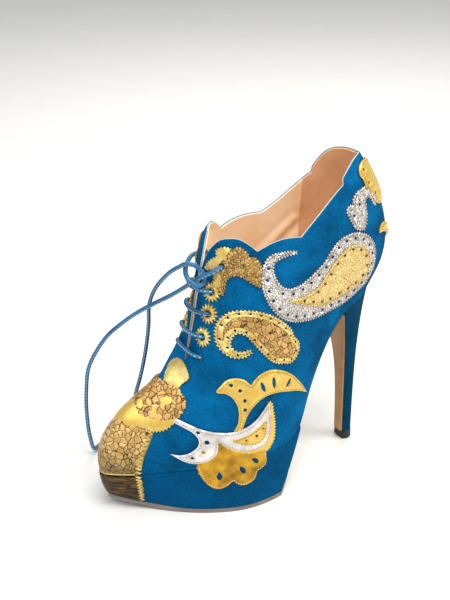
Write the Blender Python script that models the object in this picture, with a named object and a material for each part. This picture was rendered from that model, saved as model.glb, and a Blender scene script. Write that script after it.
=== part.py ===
"""Lace-up platform shoe with a stiletto heel, left foot, built from named pieces.

Working frame of the design functions: millimetres, +X to the toe, +Y to the outer side of the
foot, +Z up, with zero on the floor under the middle of the heel tip.
"""

import math
from collections import namedtuple

import bmesh
import bpy
import numpy as np
from mathutils import Vector
from mathutils.bvhtree import BVHTree
from mathutils.geometry import delaunay_2d_cdt

MM = 0.001

# Driving sizes
WALL = 2.0                # suede and lining together
SEAT_GAP = 0.3            # clearance between pieces that touch
INSOLE_THICKNESS = 2.0
OUTSOLE_THICKNESS = 2.6
TOE_SPRING = 5.0          # lift of the sole under the toe tip
TIP_HEIGHT = 6.0          # heel tip
APPLIQUE_THICKNESS = 0.9
LACE_DIAMETER = 3.0
EYELET_RADIUS = 1.9

# Sections of the last, from the middle of the heel to the tip of the toe. Each one is a rib from
# the feather edge (x, outer, inner, z) to the edge of the opening (top_x, top_y, top_z). The two
# handles shape it: "low" leaves the feather edge, "high" comes down from the opening.
Section = namedtuple(
    "Section",
    "name x outer inner z low_x low_y low_z top_x top_y top_z high_x high_y high_z",
)
SECTIONS = [
    Section("heel_back", -11.5, 0, 0, 121, -21, 0, 19, 3.5, 0, 208, -22, 0, -30),
    Section("heel_round", -8.5, 10, -10, 120.5, -18, 6, 19, 7, 10.5, 207, -17.5, 4, -29),
    Section("heel_side", -2, 17, -16.5, 117.5, -9.5, 8, 20, 14, 17, 203, -10, 5.5, -29),
    Section("seat_front", 7, 21, -20, 111.5, -4.5, 7.5, 22, 25, 20.5, 190, -9, 5, -26),
    Section("breast", 20, 22.5, -20, 103, -3, 8, 25, 37, 22.5, 178, -9, 5, -24),
    Section("high_waist", 34, 24.5, -18.5, 83, -1, 9, 29, 50, 23, 171, -7, 6, -26),
    Section("waist", 47, 29, -19, 58, 2, 9, 34, 64, 22.5, 169, -6, 9, -30),
    Section("low_waist", 60, 36, -22.5, 38, 4, 8, 36, 79, 21, 168, -7, 12, -36),
    Section("ball_back", 80, 42, -30, 36, 3, 4.5, 32, 92, 13.5, 168, -4, 17, -42),
    Section("ball", 100, 42.3, -35.5, 35.5, 2, 3, 30, 103, 2.5, 154, 0, 21, -38),
    Section("ball_front", 118, 36, -36, 33, 1, 3, 28, 109, 1.9, 128, 0, 20, -30),
    Section("vamp", 134, 26.5, -32.5, 29.5, 1.5, 4, 22, 113.5, 1.6, 104, 2, 17, -19),
    Section("toe_side", 148, 16, -27, 26, 2.5, 5, 23, 115.5, 1.3, 94, 7, 13, -17),
    Section("toe_shoulder", 160, 8.2, -20, 24.5, 4, 4.5, 25, 116.6, 0.9, 90, 16, 9, -16),
    Section("toe_round", 169, 1.2, -11.5, 23.6, 6.5, 2.5, 28, 117.1, 0.45, 88.8, 26, 4.5, -17),
    Section("toe_tip", 172, -4, -4, 23.3, 6.5, 0, 29, 117.3, 0, 88.4, 33, 0, -18.4),
]
INNER_INSTEP = 0.7        # the inner side of the instep is flatter, from the ball forward
INNER_INSTEP_FROM = 100
LAST = len(SECTIONS) - 1
LOOP = 2 * LAST


def section_rows():
    """Control rows of the closed loop of ribs: outer side heel to toe, then inner side toe to heel."""
    def row(sec, side):
        edge = sec.outer if side > 0 else sec.inner
        flat = INNER_INSTEP if side < 0 and sec.x >= INNER_INSTEP_FROM else 1.0
        feather = np.array([sec.x, edge, sec.z], float)
        top = np.array([sec.top_x, side * sec.top_y, sec.top_z], float)
        low = feather + [sec.low_x, side * sec.low_y * flat, sec.low_z]
        high = top + [sec.high_x, side * sec.high_y * flat, sec.high_z]
        return [feather, low, high, top]
    outer = [row(sec, 1) for sec in SECTIONS]
    inner = [row(sec, -1) for sec in SECTIONS[LAST - 1:0:-1]]
    return np.array(outer + inner)


def closed_spline_slopes(rows):
    """Slopes that make a closed cubic spline through evenly numbered rows."""
    count = len(rows)
    system = 4.0 * np.eye(count) + np.roll(np.eye(count), 1, 1) + np.roll(np.eye(count), -1, 1)
    flat = rows.reshape(count, -1)
    right = 3.0 * (np.roll(flat, -1, 0) - np.roll(flat, 1, 0))
    return np.linalg.solve(system, right).reshape(rows.shape)


ROWS = section_rows()
SLOPES = closed_spline_slopes(ROWS)


def rib(s):
    """The four control points of the rib at loop position s (array), shape (n, 4, 3)."""
    s = np.asarray(s, float) % LOOP
    i = np.floor(s).astype(int) % LOOP
    j = (i + 1) % LOOP
    t = (s - np.floor(s))[:, None, None]
    return ((1 + 2 * t) * (1 - t) ** 2 * ROWS[i] + t * (1 - t) ** 2 * SLOPES[i]
            + t * t * (3 - 2 * t) * ROWS[j] + t * t * (t - 1) * SLOPES[j])


def last_point(s, v):
    """Point of the upper's outer face: s runs round the foot, v up from the feather edge."""
    s, v = np.broadcast_arrays(np.asarray(s, float), np.asarray(v, float))
    shape = s.shape
    c = rib(s.ravel())
    v = v.ravel()[:, None]
    point = ((1 - v) ** 3 * c[:, 0] + 3 * v * (1 - v) ** 2 * c[:, 1]
             + 3 * v * v * (1 - v) * c[:, 2] + v ** 3 * c[:, 3])
    return point.reshape(shape + (3,))


def unit(a):
    return a / np.linalg.norm(a, axis=-1, keepdims=True)


def last_normal(s, v):
    """Outward direction of the upper's outer face."""
    s, v = np.broadcast_arrays(np.asarray(s, float), np.asarray(v, float))
    low, high = np.clip(v - 0.004, 0, 1), np.clip(v + 0.004, 0, 1)
    along = last_point(s + 0.02, v) - last_point(s - 0.02, v)
    up = last_point(s, high) - last_point(s, low)
    return unit(np.cross(up, along))


# Topline, outer side, from the heel's middle to the toe: spans of sections, with the share of each
# rib that is kept at both ends, a rounded rise between them and the mesh columns used.
Span = namedtuple("Span", "name start end from_v to_v rise columns")
TOPLINE = [
    Span("tab", 0.0, 2.2, 0.918, 0.945, 0.004, 4),
    Span("tab_edge", 2.2, 2.65, 0.945, 0.925, 0.0, 1),
    Span("quarter", 2.65, 5.25, 0.925, 0.913, 0.055, 6),
    Span("scallop", 5.25, 7.22, 0.913, 0.922, 0.03, 5),
    Span("lobe_rise", 7.22, 8.0, 0.922, 0.986, 0.012, 3),
    Span("lobe", 8.0, 8.4, 0.986, 1.0, 0.0, 2),
    Span("slit", 8.4, 11.6, 1.0, 1.0, 0.0, 8),
    Span("toe", 11.6, 15.0, 1.0, 1.0, 0.0, 7),
]
WALL_ROWS = 12


def topline(s):
    """Share of the rib at loop position s that lies below the topline."""
    s = np.asarray(s, float) % LOOP
    half = np.minimum(s, LOOP - s)
    share = np.ones_like(half)
    for span in TOPLINE:
        t = np.clip((half - span.start) / (span.end - span.start), 0, 1)
        v = span.from_v + (span.to_v - span.from_v) * t + span.rise * 4 * t * (1 - t)
        share = np.where((half >= span.start) & (half <= span.end), v, share)
    return share


def wall_columns():
    """Loop positions of the upper's mesh columns, with every corner of the topline on one."""
    half = [0.0]
    for span in TOPLINE:
        half += [span.start + (span.end - span.start) * (k + 1) / span.columns
                 for k in range(span.columns)]
    half = np.array(half)
    return np.concatenate([half, LOOP - half[-2:0:-1]])


def add_object(name, mesh_builder):
    """A named object with its own mesh, filled by mesh_builder, faces pointing outward."""
    bm = bmesh.new()
    mesh_builder(bm)
    bmesh.ops.recalc_face_normals(bm, faces=bm.faces)
    bmesh.ops.triangulate(bm, faces=bm.faces)
    mesh = bpy.data.meshes.new(name)
    bm.to_mesh(mesh)
    bm.free()
    obj = bpy.data.objects.new(name, mesh)
    bpy.context.scene.collection.objects.link(obj)
    return obj


def add_verts(bm, points):
    return [bm.verts.new(Vector(p) * MM) for p in np.asarray(points, float)]


def add_rings(bm, rings, closed=False, caps=True):
    """Skin a row of equal rings of points; open rows get end caps."""
    made = [add_verts(bm, ring) for ring in rings]
    pairs = list(zip(made, made[1:])) + ([(made[-1], made[0])] if closed else [])
    for a, b in pairs:
        for k in range(len(a)):
            n = (k + 1) % len(a)
            bm.faces.new((a[k], a[n], b[n], b[k]))
    if caps and not closed:
        bm.faces.new(made[0])
        bm.faces.new(made[-1])
    return made


def build_upper():
    s = wall_columns()
    v = topline(s)[:, None] * np.linspace(0, 1, WALL_ROWS + 1)[None, :]
    s = np.repeat(s[:, None], WALL_ROWS + 1, 1)
    outside = last_point(s, v)
    inside = outside - WALL * last_normal(s, v)
    rings = [np.concatenate([a, b[::-1]]) for a, b in zip(outside, inside)]
    return add_object("upper", lambda bm: add_rings(bm, rings, closed=True))


# The bottom of the last: straight across between the two feather edges of a section

def feather(half, side):
    s = np.asarray(half, float)
    return last_point(s if side > 0 else (LOOP - s) % LOOP, 0.0)


def bed_up(half):
    """Upward direction square to the bottom of the last, seen from the side."""
    half = np.asarray(half, float)
    a = 0.5 * (feather(np.clip(half - 0.05, 0, LAST), 1) + feather(np.clip(half - 0.05, 0, LAST), -1))
    b = 0.5 * (feather(np.clip(half + 0.05, 0, LAST), 1) + feather(np.clip(half + 0.05, 0, LAST), -1))
    d = b - a
    up = np.stack([-d[..., 2], np.zeros_like(half), d[..., 0]], -1)
    return unit(up)


def plan_out(s):
    """Outward direction of the feather line in plan at loop position s."""
    d = last_point(np.asarray(s) + 0.03, 0.0) - last_point(np.asarray(s) - 0.03, 0.0)
    out = np.stack([-d[..., 1], d[..., 0], np.zeros_like(d[..., 0])], -1)
    return unit(out)


def bed_edge(half, side, inset, lift):
    """Edge of the bottom of the last at one section, moved inward in plan and lifted."""
    half = np.asarray(half, float)
    s = half if side > 0 else (LOOP - half) % LOOP
    return feather(half, side) - inset * plan_out(s) + lift * bed_up(half)


INSOLE_STATIONS = [0.15, 0.45, 1, 1.6, 2.3, 3, 3.75, 4.6, 5.2, 5.8, 6.3, 6.7, 7.05, 7.4, 7.8, 8.3, 9,
                   9.7, 10.4, 11, 11.6, 12.2, 12.8, 13.3, 13.8, 14.2, 14.55, 14.8]


def build_insole():
    inset = WALL + 2 * SEAT_GAP
    top = SEAT_GAP + INSOLE_THICKNESS
    rings = [[bed_edge(h, 1, inset, top), bed_edge(h, -1, inset, top),
              bed_edge(h, -1, inset, SEAT_GAP), bed_edge(h, 1, inset, SEAT_GAP)] for h in INSOLE_STATIONS]
    return add_object("insole", lambda bm: add_rings(bm, rings))


# Platform: from the feather edge down to the outsole, its rear face leaning forward to the floor
PLATFORM_BACK = 6.7       # section at the rear of the platform's top
PLATFORM_BACK_LOW = 7.65  # section at the rear of its foot
PLATFORM_OUT = 0.8        # the cover's fullness beyond the feather edge
PLATFORM_SWELL = 0.7
TOE_UNDERCUT = 3.5        # the foot of the platform sits back from the toe tip
PLATFORM_STATIONS = [6.7, 7.05, 7.4, 7.8, 8.3, 9, 9.7, 10.4, 11, 11.6, 12.2, 12.8, 13.3, 13.8, 14.2,
                     14.55, 14.8, 14.95]


def smooth(t):
    t = np.clip(t, 0, 1)
    return t * t * (3 - 2 * t)


def sole_lift(x):
    """Height of the outsole's underside above the floor: flat under the ball, rising at the toe."""
    return TOE_SPRING * np.clip((np.asarray(x) - 126.0) / 43.0, 0, 1) ** 1.7


def platform_foot(half, side, out):
    """Edge of the platform's foot at the section above it."""
    share = (np.asarray(half, float) - PLATFORM_BACK) / (LAST - PLATFORM_BACK)
    low = PLATFORM_BACK_LOW + share * (LAST - PLATFORM_BACK_LOW)
    s = low if side > 0 else (LOOP - low) % LOOP
    p = feather(low, side) + out * plan_out(s)
    p = p - np.array([TOE_UNDERCUT, 0, 0]) * smooth((p[..., 0:1] - 140) / 31)
    p[..., 2] = sole_lift(p[..., 0]) + OUTSOLE_THICKNESS + SEAT_GAP
    return p


def platform_wall(half, side, rise, out=0.0):
    """Side of the platform: rise 0 at its foot, 1 under the feather edge."""
    half, rise = np.broadcast_arrays(np.asarray(half, float), np.asarray(rise, float))
    s = half if side > 0 else (LOOP - half) % LOOP
    top = bed_edge(half, side, -PLATFORM_OUT, -SEAT_GAP)
    foot = platform_foot(half, side, 0.4)
    r = rise[..., None]
    swell = PLATFORM_SWELL * 4 * r * (1 - r)
    return foot + (top - foot) * r + (swell + out) * plan_out(s)


def build_platform():
    rings = []
    for h in PLATFORM_STATIONS:
        outer = [platform_wall(h, 1, r) for r in (1.0, 0.5, 0.0)]
        inner = [platform_wall(h, -1, r) for r in (0.0, 0.5, 1.0)]
        rings.append(outer + inner)
    return add_object("platform", lambda bm: add_rings(bm, rings))


OUTSOLE_EDGE = 0.6        # welt edge that shows beyond the platform's foot
WAIST_INSET = 2.5
WAIST_STATIONS = [6.3, 5.8, 5.2, 4.6, 4.1]


def build_outsole():
    """Leather sole: flat under the forefoot, up the platform's rear face, then along the waist."""
    rings = []

    def ring(outer, inner, down):
        rings.append([outer, inner, inner + down, outer + down])
    for h in PLATFORM_STATIONS[::-1]:
        outer, inner = (platform_foot(h, side, OUTSOLE_EDGE) for side in (1, -1))
        for edge in (outer, inner):
            edge[2] -= SEAT_GAP
        ring(outer, inner, np.array([0, 0, -OUTSOLE_THICKNESS]))
    lean = platform_wall(PLATFORM_BACK, 1, 1.0) - platform_wall(PLATFORM_BACK, 1, 0.0)
    back = unit(np.array([-lean[2], 0, lean[0]]))
    for t in (0.2, 0.5, 0.8, 1.0):
        outer, inner = (platform_wall(PLATFORM_BACK, side, t) + back * (SEAT_GAP + 0.7)
                        - np.array([0, side * WAIST_INSET * min(1, 2 * t), 0]) for side in (1, -1))
        ring(outer, inner, back * OUTSOLE_THICKNESS)
    for h in WAIST_STATIONS:
        outer, inner = (feather(h, side) - np.array([0, side * WAIST_INSET, 0])
                        - (SEAT_GAP + 0.4) * bed_up(h) for side in (1, -1))
        ring(outer, inner, -OUTSOLE_THICKNESS * bed_up(h))
    return add_object("outsole", lambda bm: add_rings(bm, rings))


# Heel: a slim stem with a flat breast that flares up into the seat
STEM_RADIUS_LOW = 5.4
STEM_RADIUS_HIGH = 8.0
STEM_CORNER = math.radians(125)   # breast corners, turned from straight back
HEEL_FLARE = 4.0
HEEL_SEAT = [3.75, 3.0, 2.3, 1.6, 1.0, 0.45]
HEEL_LEVELS = [0, 0.2, 0.4, 0.56, 0.68, 0.77, 0.84, 0.9, 0.95, 1.0]


def heel_loop(level, side):
    """Points of one level from the breast corner to the back, on one side."""
    half = np.array(HEEL_SEAT + [0.0])
    seat = bed_edge(half, side, 0.3, -SEAT_GAP)
    angle = STEM_CORNER * np.linspace(1, 0, len(half))
    radius = STEM_RADIUS_LOW + (STEM_RADIUS_HIGH - STEM_RADIUS_LOW) * level ** 1.6
    stem = np.stack([-radius * np.cos(angle), side * radius * np.sin(angle), np.zeros_like(angle)], -1)
    mix = level ** HEEL_FLARE
    foot = TIP_HEIGHT + SEAT_GAP
    point = stem * (1 - mix) + seat * mix
    point[:, 2] = foot + (seat[:, 2] - foot) * level
    return point


def build_heel():
    def fill(bm):
        loops = []
        for level in HEEL_LEVELS:
            outer, inner = heel_loop(level, 1), heel_loop(level, -1)
            loops.append(np.concatenate([outer, inner[-2::-1]]))
        made = add_rings(bm, loops, caps=False)
        for ring in (made[0], made[-1]):
            count = len(ring)
            for k in range(count // 2 - 1):
                bm.faces.new((ring[k], ring[k + 1], ring[count - 2 - k], ring[count - 1 - k]))
            mid = count // 2
            bm.faces.new((ring[mid - 1], ring[mid], ring[mid + 1]))
    return add_object("heel", fill)


def build_heel_tip():
    angle = np.concatenate([np.linspace(STEM_CORNER, -STEM_CORNER, 15)])
    ring = np.stack([-np.cos(angle), np.sin(angle), np.zeros_like(angle)], -1)
    low, high = ring * (STEM_RADIUS_LOW + 0.35), ring * (STEM_RADIUS_LOW + 0.15)
    high[:, 2] = TIP_HEIGHT
    return add_object("heel_tip", lambda bm: add_rings(bm, [low, high]))


BREAST_THICKNESS = 1.2


def build_breast_cover():
    """Thin leather on the flat front of the heel."""
    rings = []
    for level in (0, 0.2, 0.4, 0.56, 0.68, 0.77, 0.84, 0.9, 0.95):
        a, b = heel_loop(level, 1)[0], heel_loop(level, -1)[0]
        a, b = a + (b - a) * 0.04, b + (a - b) * 0.04
        near, far = np.array([SEAT_GAP, 0, 0]), np.array([SEAT_GAP + BREAST_THICKNESS, 0, 0])
        rings.append([a + near, a + far, b + far, b + near])
    return add_object("breast_cover", lambda bm: add_rings(bm, rings))


# Ornament: leather shapes cut to outlines in a chart and laid on the shoe

REACH = 300.0             # how far outside the shoe a chart's rays start
TOE_AXIS = -4.0           # y of the middle line of the toe
QUARTER_TURN = math.radians(50)   # the quarter chart looks this far round from the front
QUARTER_X = 104.0         # where its rays start counting, beside the slit
QUARTER_Y = 5.0
ORNAMENT_LIFT = 0.5       # from the suede to the underside of an ornament
OUTLINE_STEP = 0.75       # spacing of points along an outline, against the spacing inside it
INNER_TOE = 0.78          # the toe ornament is narrower on the inner side


def side_chart(side, u, w):
    """Seen square from one side of the shoe: u is x, w is z."""
    return Vector((u, side * 25, w)), Vector((0, -side, 0))


def rear_chart(side, u, w):
    """Seen from behind: u runs out from the middle, w is z."""
    return Vector((-14, side * u, w)), Vector((1, 0, 0))


def turned_rear_chart(side, u, w):
    """Seen from behind with the axes swapped: u is z, w runs out from the middle."""
    return rear_chart(side, w, u)


def quarter_chart(side, u, w):
    """Seen half from the front: u runs back from the slit, w is z."""
    ahead, aside = math.cos(QUARTER_TURN), math.sin(QUARTER_TURN)
    near = Vector((QUARTER_X - aside * u, side * (QUARTER_Y + ahead * u), w))
    return near, Vector((-ahead, -side * aside, 0))


def top_chart(side, u, w):
    """Seen from above: u is x, w runs out from the middle line of the toe."""
    return Vector((u, TOE_AXIS + side * w * (1 if w > 0 else INNER_TOE), 60)), Vector((0, 0, -1))


def shoe_surface():
    """The outer faces of upper and platform as one fine surface that rays can meet."""
    s = np.linspace(0, LOOP, 481)[:, None]
    half = np.linspace(PLATFORM_BACK, LAST, 161)[:, None]
    rise = np.linspace(0, 1, 13)[None, :]
    grids = [last_point(s, topline(s) * np.linspace(0, 1, 91)[None, :])]
    grids += [platform_wall(half, side, rise) for side in (1, -1)]
    points, quads = [], []
    for grid in grids:
        index = np.arange(grid.shape[0] * grid.shape[1]).reshape(grid.shape[:2]) + len(points)
        corners = (index[:-1, :-1], index[1:, :-1], index[1:, 1:], index[:-1, 1:])
        quads += np.stack(corners, -1).reshape(-1, 4).tolist()
        points += grid.reshape(-1, 3).tolist()
    return BVHTree.FromPolygons(points, quads)


SURFACE = shoe_surface()


def drop(chart, side, flat):
    """Points of the shoe's surface under the chart points, and the outward directions there."""
    points, out = [], []
    for u, w in flat:
        near, aim = chart(side, u, w)
        hit, normal, _, _ = SURFACE.ray_cast(near - aim * REACH, aim)
        if hit is None:
            hit, normal, _, _ = SURFACE.find_nearest(near)
        points.append(hit)
        out.append(-normal if normal.dot(aim) > 0 else normal)
    return np.array(points), np.array(out)


def curve(points, step):
    """Smooth curve through a few chosen points, read at even steps."""
    p = np.array(points, float)
    chord = np.linalg.norm(np.diff(p, axis=0), axis=1)[:, None]
    slope = np.diff(p, axis=0) / chord
    tangent = np.concatenate([slope[:1], slope])
    if len(p) > 2:
        tangent[1:-1] = (slope[:-1] * chord[1:] + slope[1:] * chord[:-1]) / (chord[:-1] + chord[1:])
        tangent[0] = 1.5 * slope[0] - 0.5 * tangent[1]
        tangent[-1] = 1.5 * slope[-1] - 0.5 * tangent[-2]
    t = np.linspace(0, 1, 16, endpoint=False)[:, None]
    dense = [(1 + 2 * t) * (1 - t) ** 2 * p[k] + t * (1 - t) ** 2 * chord[k] * tangent[k]
             + t * t * (3 - 2 * t) * p[k + 1] + t * t * (t - 1) * chord[k] * tangent[k + 1]
             for k in range(len(chord))]
    dense = np.concatenate(dense + [p[-1:]])
    run = np.concatenate([[0], np.cumsum(np.linalg.norm(np.diff(dense, axis=0), axis=1))])
    at = np.linspace(0, run[-1], max(1, round(run[-1] / step)) + 1)
    return np.stack([np.interp(at, run, column) for column in dense.T], -1)


def outline(runs, step):
    """Closed outline from runs of points; each run ends in a corner, where the next one starts."""
    ring, start = [], runs[-1][-1]
    for run in runs:
        ring.append(curve([start] + run, step)[1:])
        start = run[-1]
    return np.concatenate(ring)


def teardrop(spine, step):
    """Outline of a curled drop from rows of (u, w, half width), from its tip to its round head."""
    line = curve(spine, 1.0)
    middle, half = line[:, :2], line[:, 2:]
    along = unit(np.gradient(middle, axis=0))
    across = np.stack([-along[:, 1], along[:, 0]], -1)
    turn = np.linspace(0, math.pi, 13)[1:-1, None]
    head = middle[-1] + half[-1] * (np.cos(turn) * across[-1] + np.sin(turn) * along[-1])
    ring = np.concatenate([middle + half * across, head, (middle - half * across)[::-1]])
    return outline([ring.tolist()], step)


def mirrored(runs, step):
    """Outline from the runs of one half, from the middle line to the middle line."""
    half = np.concatenate([curve(run, step) if k == 0 else curve([runs[k - 1][-1]] + run, step)[1:]
                           for k, run in enumerate(runs)])
    return np.concatenate([half, (half * [1, -1])[-2:0:-1]])


def inside(ring, points):
    """Which points lie inside a closed outline."""
    a, b = ring, np.roll(ring, -1, 0)
    u, w = points[:, :1], points[:, 1:]
    crossing = (a[:, 1] > w) != (b[:, 1] > w)
    rise = np.where(b[:, 1] == a[:, 1], 1.0, b[:, 1] - a[:, 1])
    at = a[:, 0] + (w - a[:, 1]) / rise * (b[:, 0] - a[:, 0])
    return (crossing & (u < at)).sum(1) % 2 == 1


def triangles(ring, pitch):
    """Flat points and triangles that fill an outline."""
    low, high = ring.min(0), ring.max(0)
    rows = np.arange(low[1] + pitch / 2, high[1], 0.866 * pitch)
    grid = np.array([(u + pitch / 2 * (k % 2), w) for k, w in enumerate(rows)
                     for u in np.arange(low[0], high[0], pitch)]).reshape(-1, 2)
    room = np.linalg.norm(grid[:, None] - ring[None], axis=2).min(1, initial=1e9)
    flat = np.concatenate([ring, grid[inside(ring, grid) & (room > 0.6 * pitch)]])
    edges = [(k, (k + 1) % len(ring)) for k in range(len(ring))]
    made = delaunay_2d_cdt([Vector(p) for p in flat], edges, [], 0, 1e-5)
    flat, faces = np.array(made[0]), made[2]
    middle = np.array([flat[face].mean(0) for face in faces])
    return flat, [face for face, kept in zip(faces, inside(ring, middle)) if kept]


def add_sheet(bm, flat, faces, chart, side, lift):
    """A leather shape of even thickness laid on the surface."""
    base, out = drop(chart, side, flat)
    low = add_verts(bm, base + lift * out)
    high = add_verts(bm, base + (lift + APPLIQUE_THICKNESS) * out)
    rim = set()
    for face in faces:
        bm.faces.new([high[k] for k in face])
        bm.faces.new([low[k] for k in reversed(face)])
        for edge in zip(face, face[1:] + face[:1]):
            rim ^= {edge} if edge[::-1] not in rim else {edge[::-1]}
    for a, b in sorted(rim):
        bm.faces.new((high[b], high[a], low[a], low[b]))


SILVER_PAISLEY = [(56, 155, 0.8), (66, 155.3, 1.7), (73, 153.5, 2.6), (75.8, 148, 3.4),
                  (75.5, 140.5, 4.8), (72, 132.5, 6.6), (65, 126.5, 9.2), (56, 124.5, 11.2),
                  (46, 125.5, 13.2), (36, 128.5, 15.5), (26, 132.5, 18.5), (17, 139, 20)]
GOLD_LOBE = [(64.5, 128.5, 0.6), (57, 126.5, 2), (48, 125.5, 4.5), (39, 126.5, 7.5),
             (31, 130.5, 10.2), (22, 135.5, 13.2), (17, 138.5, 13.5)]
SILVER_LEAF = [(10, 161.5, 2), (12, 166, 6), (12, 172, 7.5), (11, 177, 6.5), (7.5, 183, 2)]
MID_PAISLEY = [(90.5, 102.5, 1.2), (95, 100.7, 1.6), (100.5, 101.5, 2.3), (103.5, 105.5, 3),
               (103, 110.5, 3.6), (100.3, 116, 4.8), (95.5, 119, 6.4), (89, 118.5, 7.6),
               (82.5, 114.5, 9.6), (76, 108, 10.8), (70, 101, 10.2), (66.5, 98.5, 8)]
BACK_TAB = [[(17.4, 171.8)], [(16.4, 178.2)],
            [(18.7, 181.6), (18.7, 186.2), (18.2, 190.3)], [(18.6, 193.4), (17.3, 196.5)],
            [(11, 197), (5.5, 196.5)], [(4.8, 186), (8, 179.5), (11, 176), (14.4, 171.7)]]
BACK_CRESCENT = [[(160, 0), (159, 11), (157.5, 17), (154, 20)],
                 [(153.5, 16), (153, 11), (147, 6), (141, 0)]]
COLLAR_LEAF = [[(1.2, 150), (5, 153.6), (9, 155.8)], [(5.7, 158)],
               [(8.8, 160.5), (13.4, 161), (16.6, 160.4)],
               [(18, 162), (21.6, 161.4), (23.9, 158.6), (24.8, 155.7)],
               [(28.3, 156.3), (30.5, 154), (31.2, 151), (31.2, 144.4), (31, 139)],
               [(26, 142.6), (22.3, 145.5), (18, 146), (14.2, 144.2), (11.2, 142.2)],
               [(6, 142), (0.7, 143.3), (-0.3, 146)]]
DOUBLE_LEAF = [[(110, 82.5), (106.7, 86), (101.7, 87.3), (96.7, 86.4), (93, 82.6)],
               [(86, 88.4), (80, 89.6), (72.7, 87.6), (66, 83.3), (59.8, 76.4), (51.8, 64.7)],
               [(61, 70.3), (70, 73.2), (78, 74.7), (84.4, 74.6), (90.6, 72.2), (94.8, 68.3), (97.2, 63),
                (100, 56.2)], [(105.5, 55.8)],
               [(103.3, 60), (101.5, 65.6), (101.4, 71.2), (102.7, 75.5), (105.7, 78.4), (112, 79)]]
BRANCH = [[(128.5, 57.3), (123.2, 54.9), (117.3, 53.9), (104.8, 54.2), (97.5, 54.9), (91.4, 58.5),
           (80.4, 67.4)], [(78, 57.6), (77.4, 48.9), (80.7, 41.5), (84, 38.3)],
          [(91.7, 38.8), (100.8, 41.2), (108, 44.5), (113.7, 49)],
          [(115.6, 43), (118.9, 36.7), (124.6, 34), (132.4, 36.1), (139.3, 40.5)],
          [(133.8, 40.1), (129.1, 41.4), (125.9, 44), (124.4, 48), (125.1, 51.6), (128.2, 54.8),
           (131.5, 60)]]
CRESCENT = [[(107.7, 51.1), (100.6, 51.7), (92.8, 54), (86.4, 58.3), (83.6, 60.5)],
            [(84.3, 53.6), (87.7, 48.4), (92.9, 45.7), (100.8, 46), (107.9, 48.1), (114, 51)]]
FAN = [[(113.8, 42), (117.3, 35.8), (123.8, 32.7)],
       [(125.8, 28.5), (123.6, 22), (119.5, 18.2), (114.5, 17.3), (109.3, 18.4), (106.6, 22)],
       [(104.8, 19.4), (100, 17.8), (95, 19.3), (92, 22.8), (91.5, 26)],
       [(87.7, 26.9), (84.3, 30), (85, 36.8)],
       [(91.7, 37.4), (100.8, 39.8), (108, 43), (112, 46)]]
TOE_BODY = [[(162, 0), (158.5, 7.9), (154, 11.5), (145, 17.9), (136, 22.4), (128.6, 23.9)],
            [(125.8, 23.2), (125.6, 20.3), (126.4, 17), (126, 15)], [(128.8, 10.7), (132.7, 6.2), (134, 0)]]
TOE_NECK = [[(129.2, 9.3), (126.2, 13.5), (123.4, 14.1), (119.6, 16)],
            [(118.8, 12.5), (119, 6.5), (119, 0), (120.6, -7.5)], [(122.6, -7), (125.5, -1), (130.5, 6.2)]]

# Each ornament: the chart it is cut in, its outline, the layer it lies in, the spacing of its mesh
# and the sides that carry it
Ornament = namedtuple("Ornament", "name chart shape design layer pitch sides")
BOTH = (("outer", 1), ("inner", -1))
MIDDLE = (("", 1),)
ORNAMENTS = [
    Ornament("silver_paisley", side_chart, teardrop, SILVER_PAISLEY, 0, 9, BOTH),
    Ornament("gold_lobe", side_chart, teardrop, GOLD_LOBE, 1, 9, BOTH),
    Ornament("silver_leaf", side_chart, teardrop, SILVER_LEAF, 0, 7, BOTH),
    Ornament("back_tab", rear_chart, outline, BACK_TAB, 0, 4.5, BOTH),
    Ornament("collar_leaf", quarter_chart, outline, COLLAR_LEAF, 0, 6.5, BOTH),
    Ornament("mid_paisley", side_chart, teardrop, MID_PAISLEY, 0, 6.5, BOTH),
    Ornament("double_leaf", side_chart, outline, DOUBLE_LEAF, 0, 8, BOTH),
    Ornament("branch", side_chart, outline, BRANCH, 0, 8, BOTH),
    Ornament("crescent", side_chart, outline, CRESCENT, 1, 8, BOTH),
    Ornament("fan", side_chart, outline, FAN, 0.4, 8, BOTH),
    Ornament("back_crescent", turned_rear_chart, mirrored, BACK_CRESCENT, 0, 5, MIDDLE),
    Ornament("toe_body", top_chart, mirrored, TOE_BODY, 0.4, 5.5, MIDDLE),
    Ornament("toe_neck", top_chart, outline, TOE_NECK, 0, 4, MIDDLE),
]


def build_ornament(ornament, label, side):
    flat, faces = triangles(ornament.shape(ornament.design, OUTLINE_STEP * ornament.pitch), ornament.pitch)
    lift = ORNAMENT_LIFT + ornament.layer * (APPLIQUE_THICKNESS + SEAT_GAP)
    name = "_".join(part for part in (ornament.name, label) if part)
    return add_object(name, lambda bm: add_sheet(bm, flat, faces, ornament.chart, side, lift))


# Toe: a cap on the upper and a band round the front of the platform
CAP_SECTION = 12.55       # side edge of the cap
CAP_TOP = 0.40            # highest share of the rib that it covers
CAP_LOW = 0.02
CAP_COLUMNS = 20
CAP_ROWS = 4
BAND_SLANT = 0.35         # the band's side edge leans back towards the floor
BAND_LOW = 0.05
BAND_HIGH = 0.95


def cap_top(s):
    """Share of the rib covered by the cap: up to the lower edge of the toe ornament."""
    ring = mirrored(TOE_BODY, 1.0)
    v = np.linspace(CAP_LOW, CAP_TOP, 96)
    point = last_point(s, v)
    flat = np.stack([point[:, 0], point[:, 1] - TOE_AXIS], -1)
    room = np.linalg.norm(flat[:, None] - ring[None], axis=2).min(1)
    blocked = inside(ring, flat) | (room < 2.0)
    return v[np.argmax(blocked)] if blocked.any() else CAP_TOP


def add_grid_sheet(bm, base, out, lift):
    """A sheet over a grid of surface points, as rings across it."""
    low, high = base + lift * out, base + (lift + APPLIQUE_THICKNESS) * out
    add_rings(bm, [np.concatenate([a, b[::-1]]) for a, b in zip(high, low)])


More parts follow.
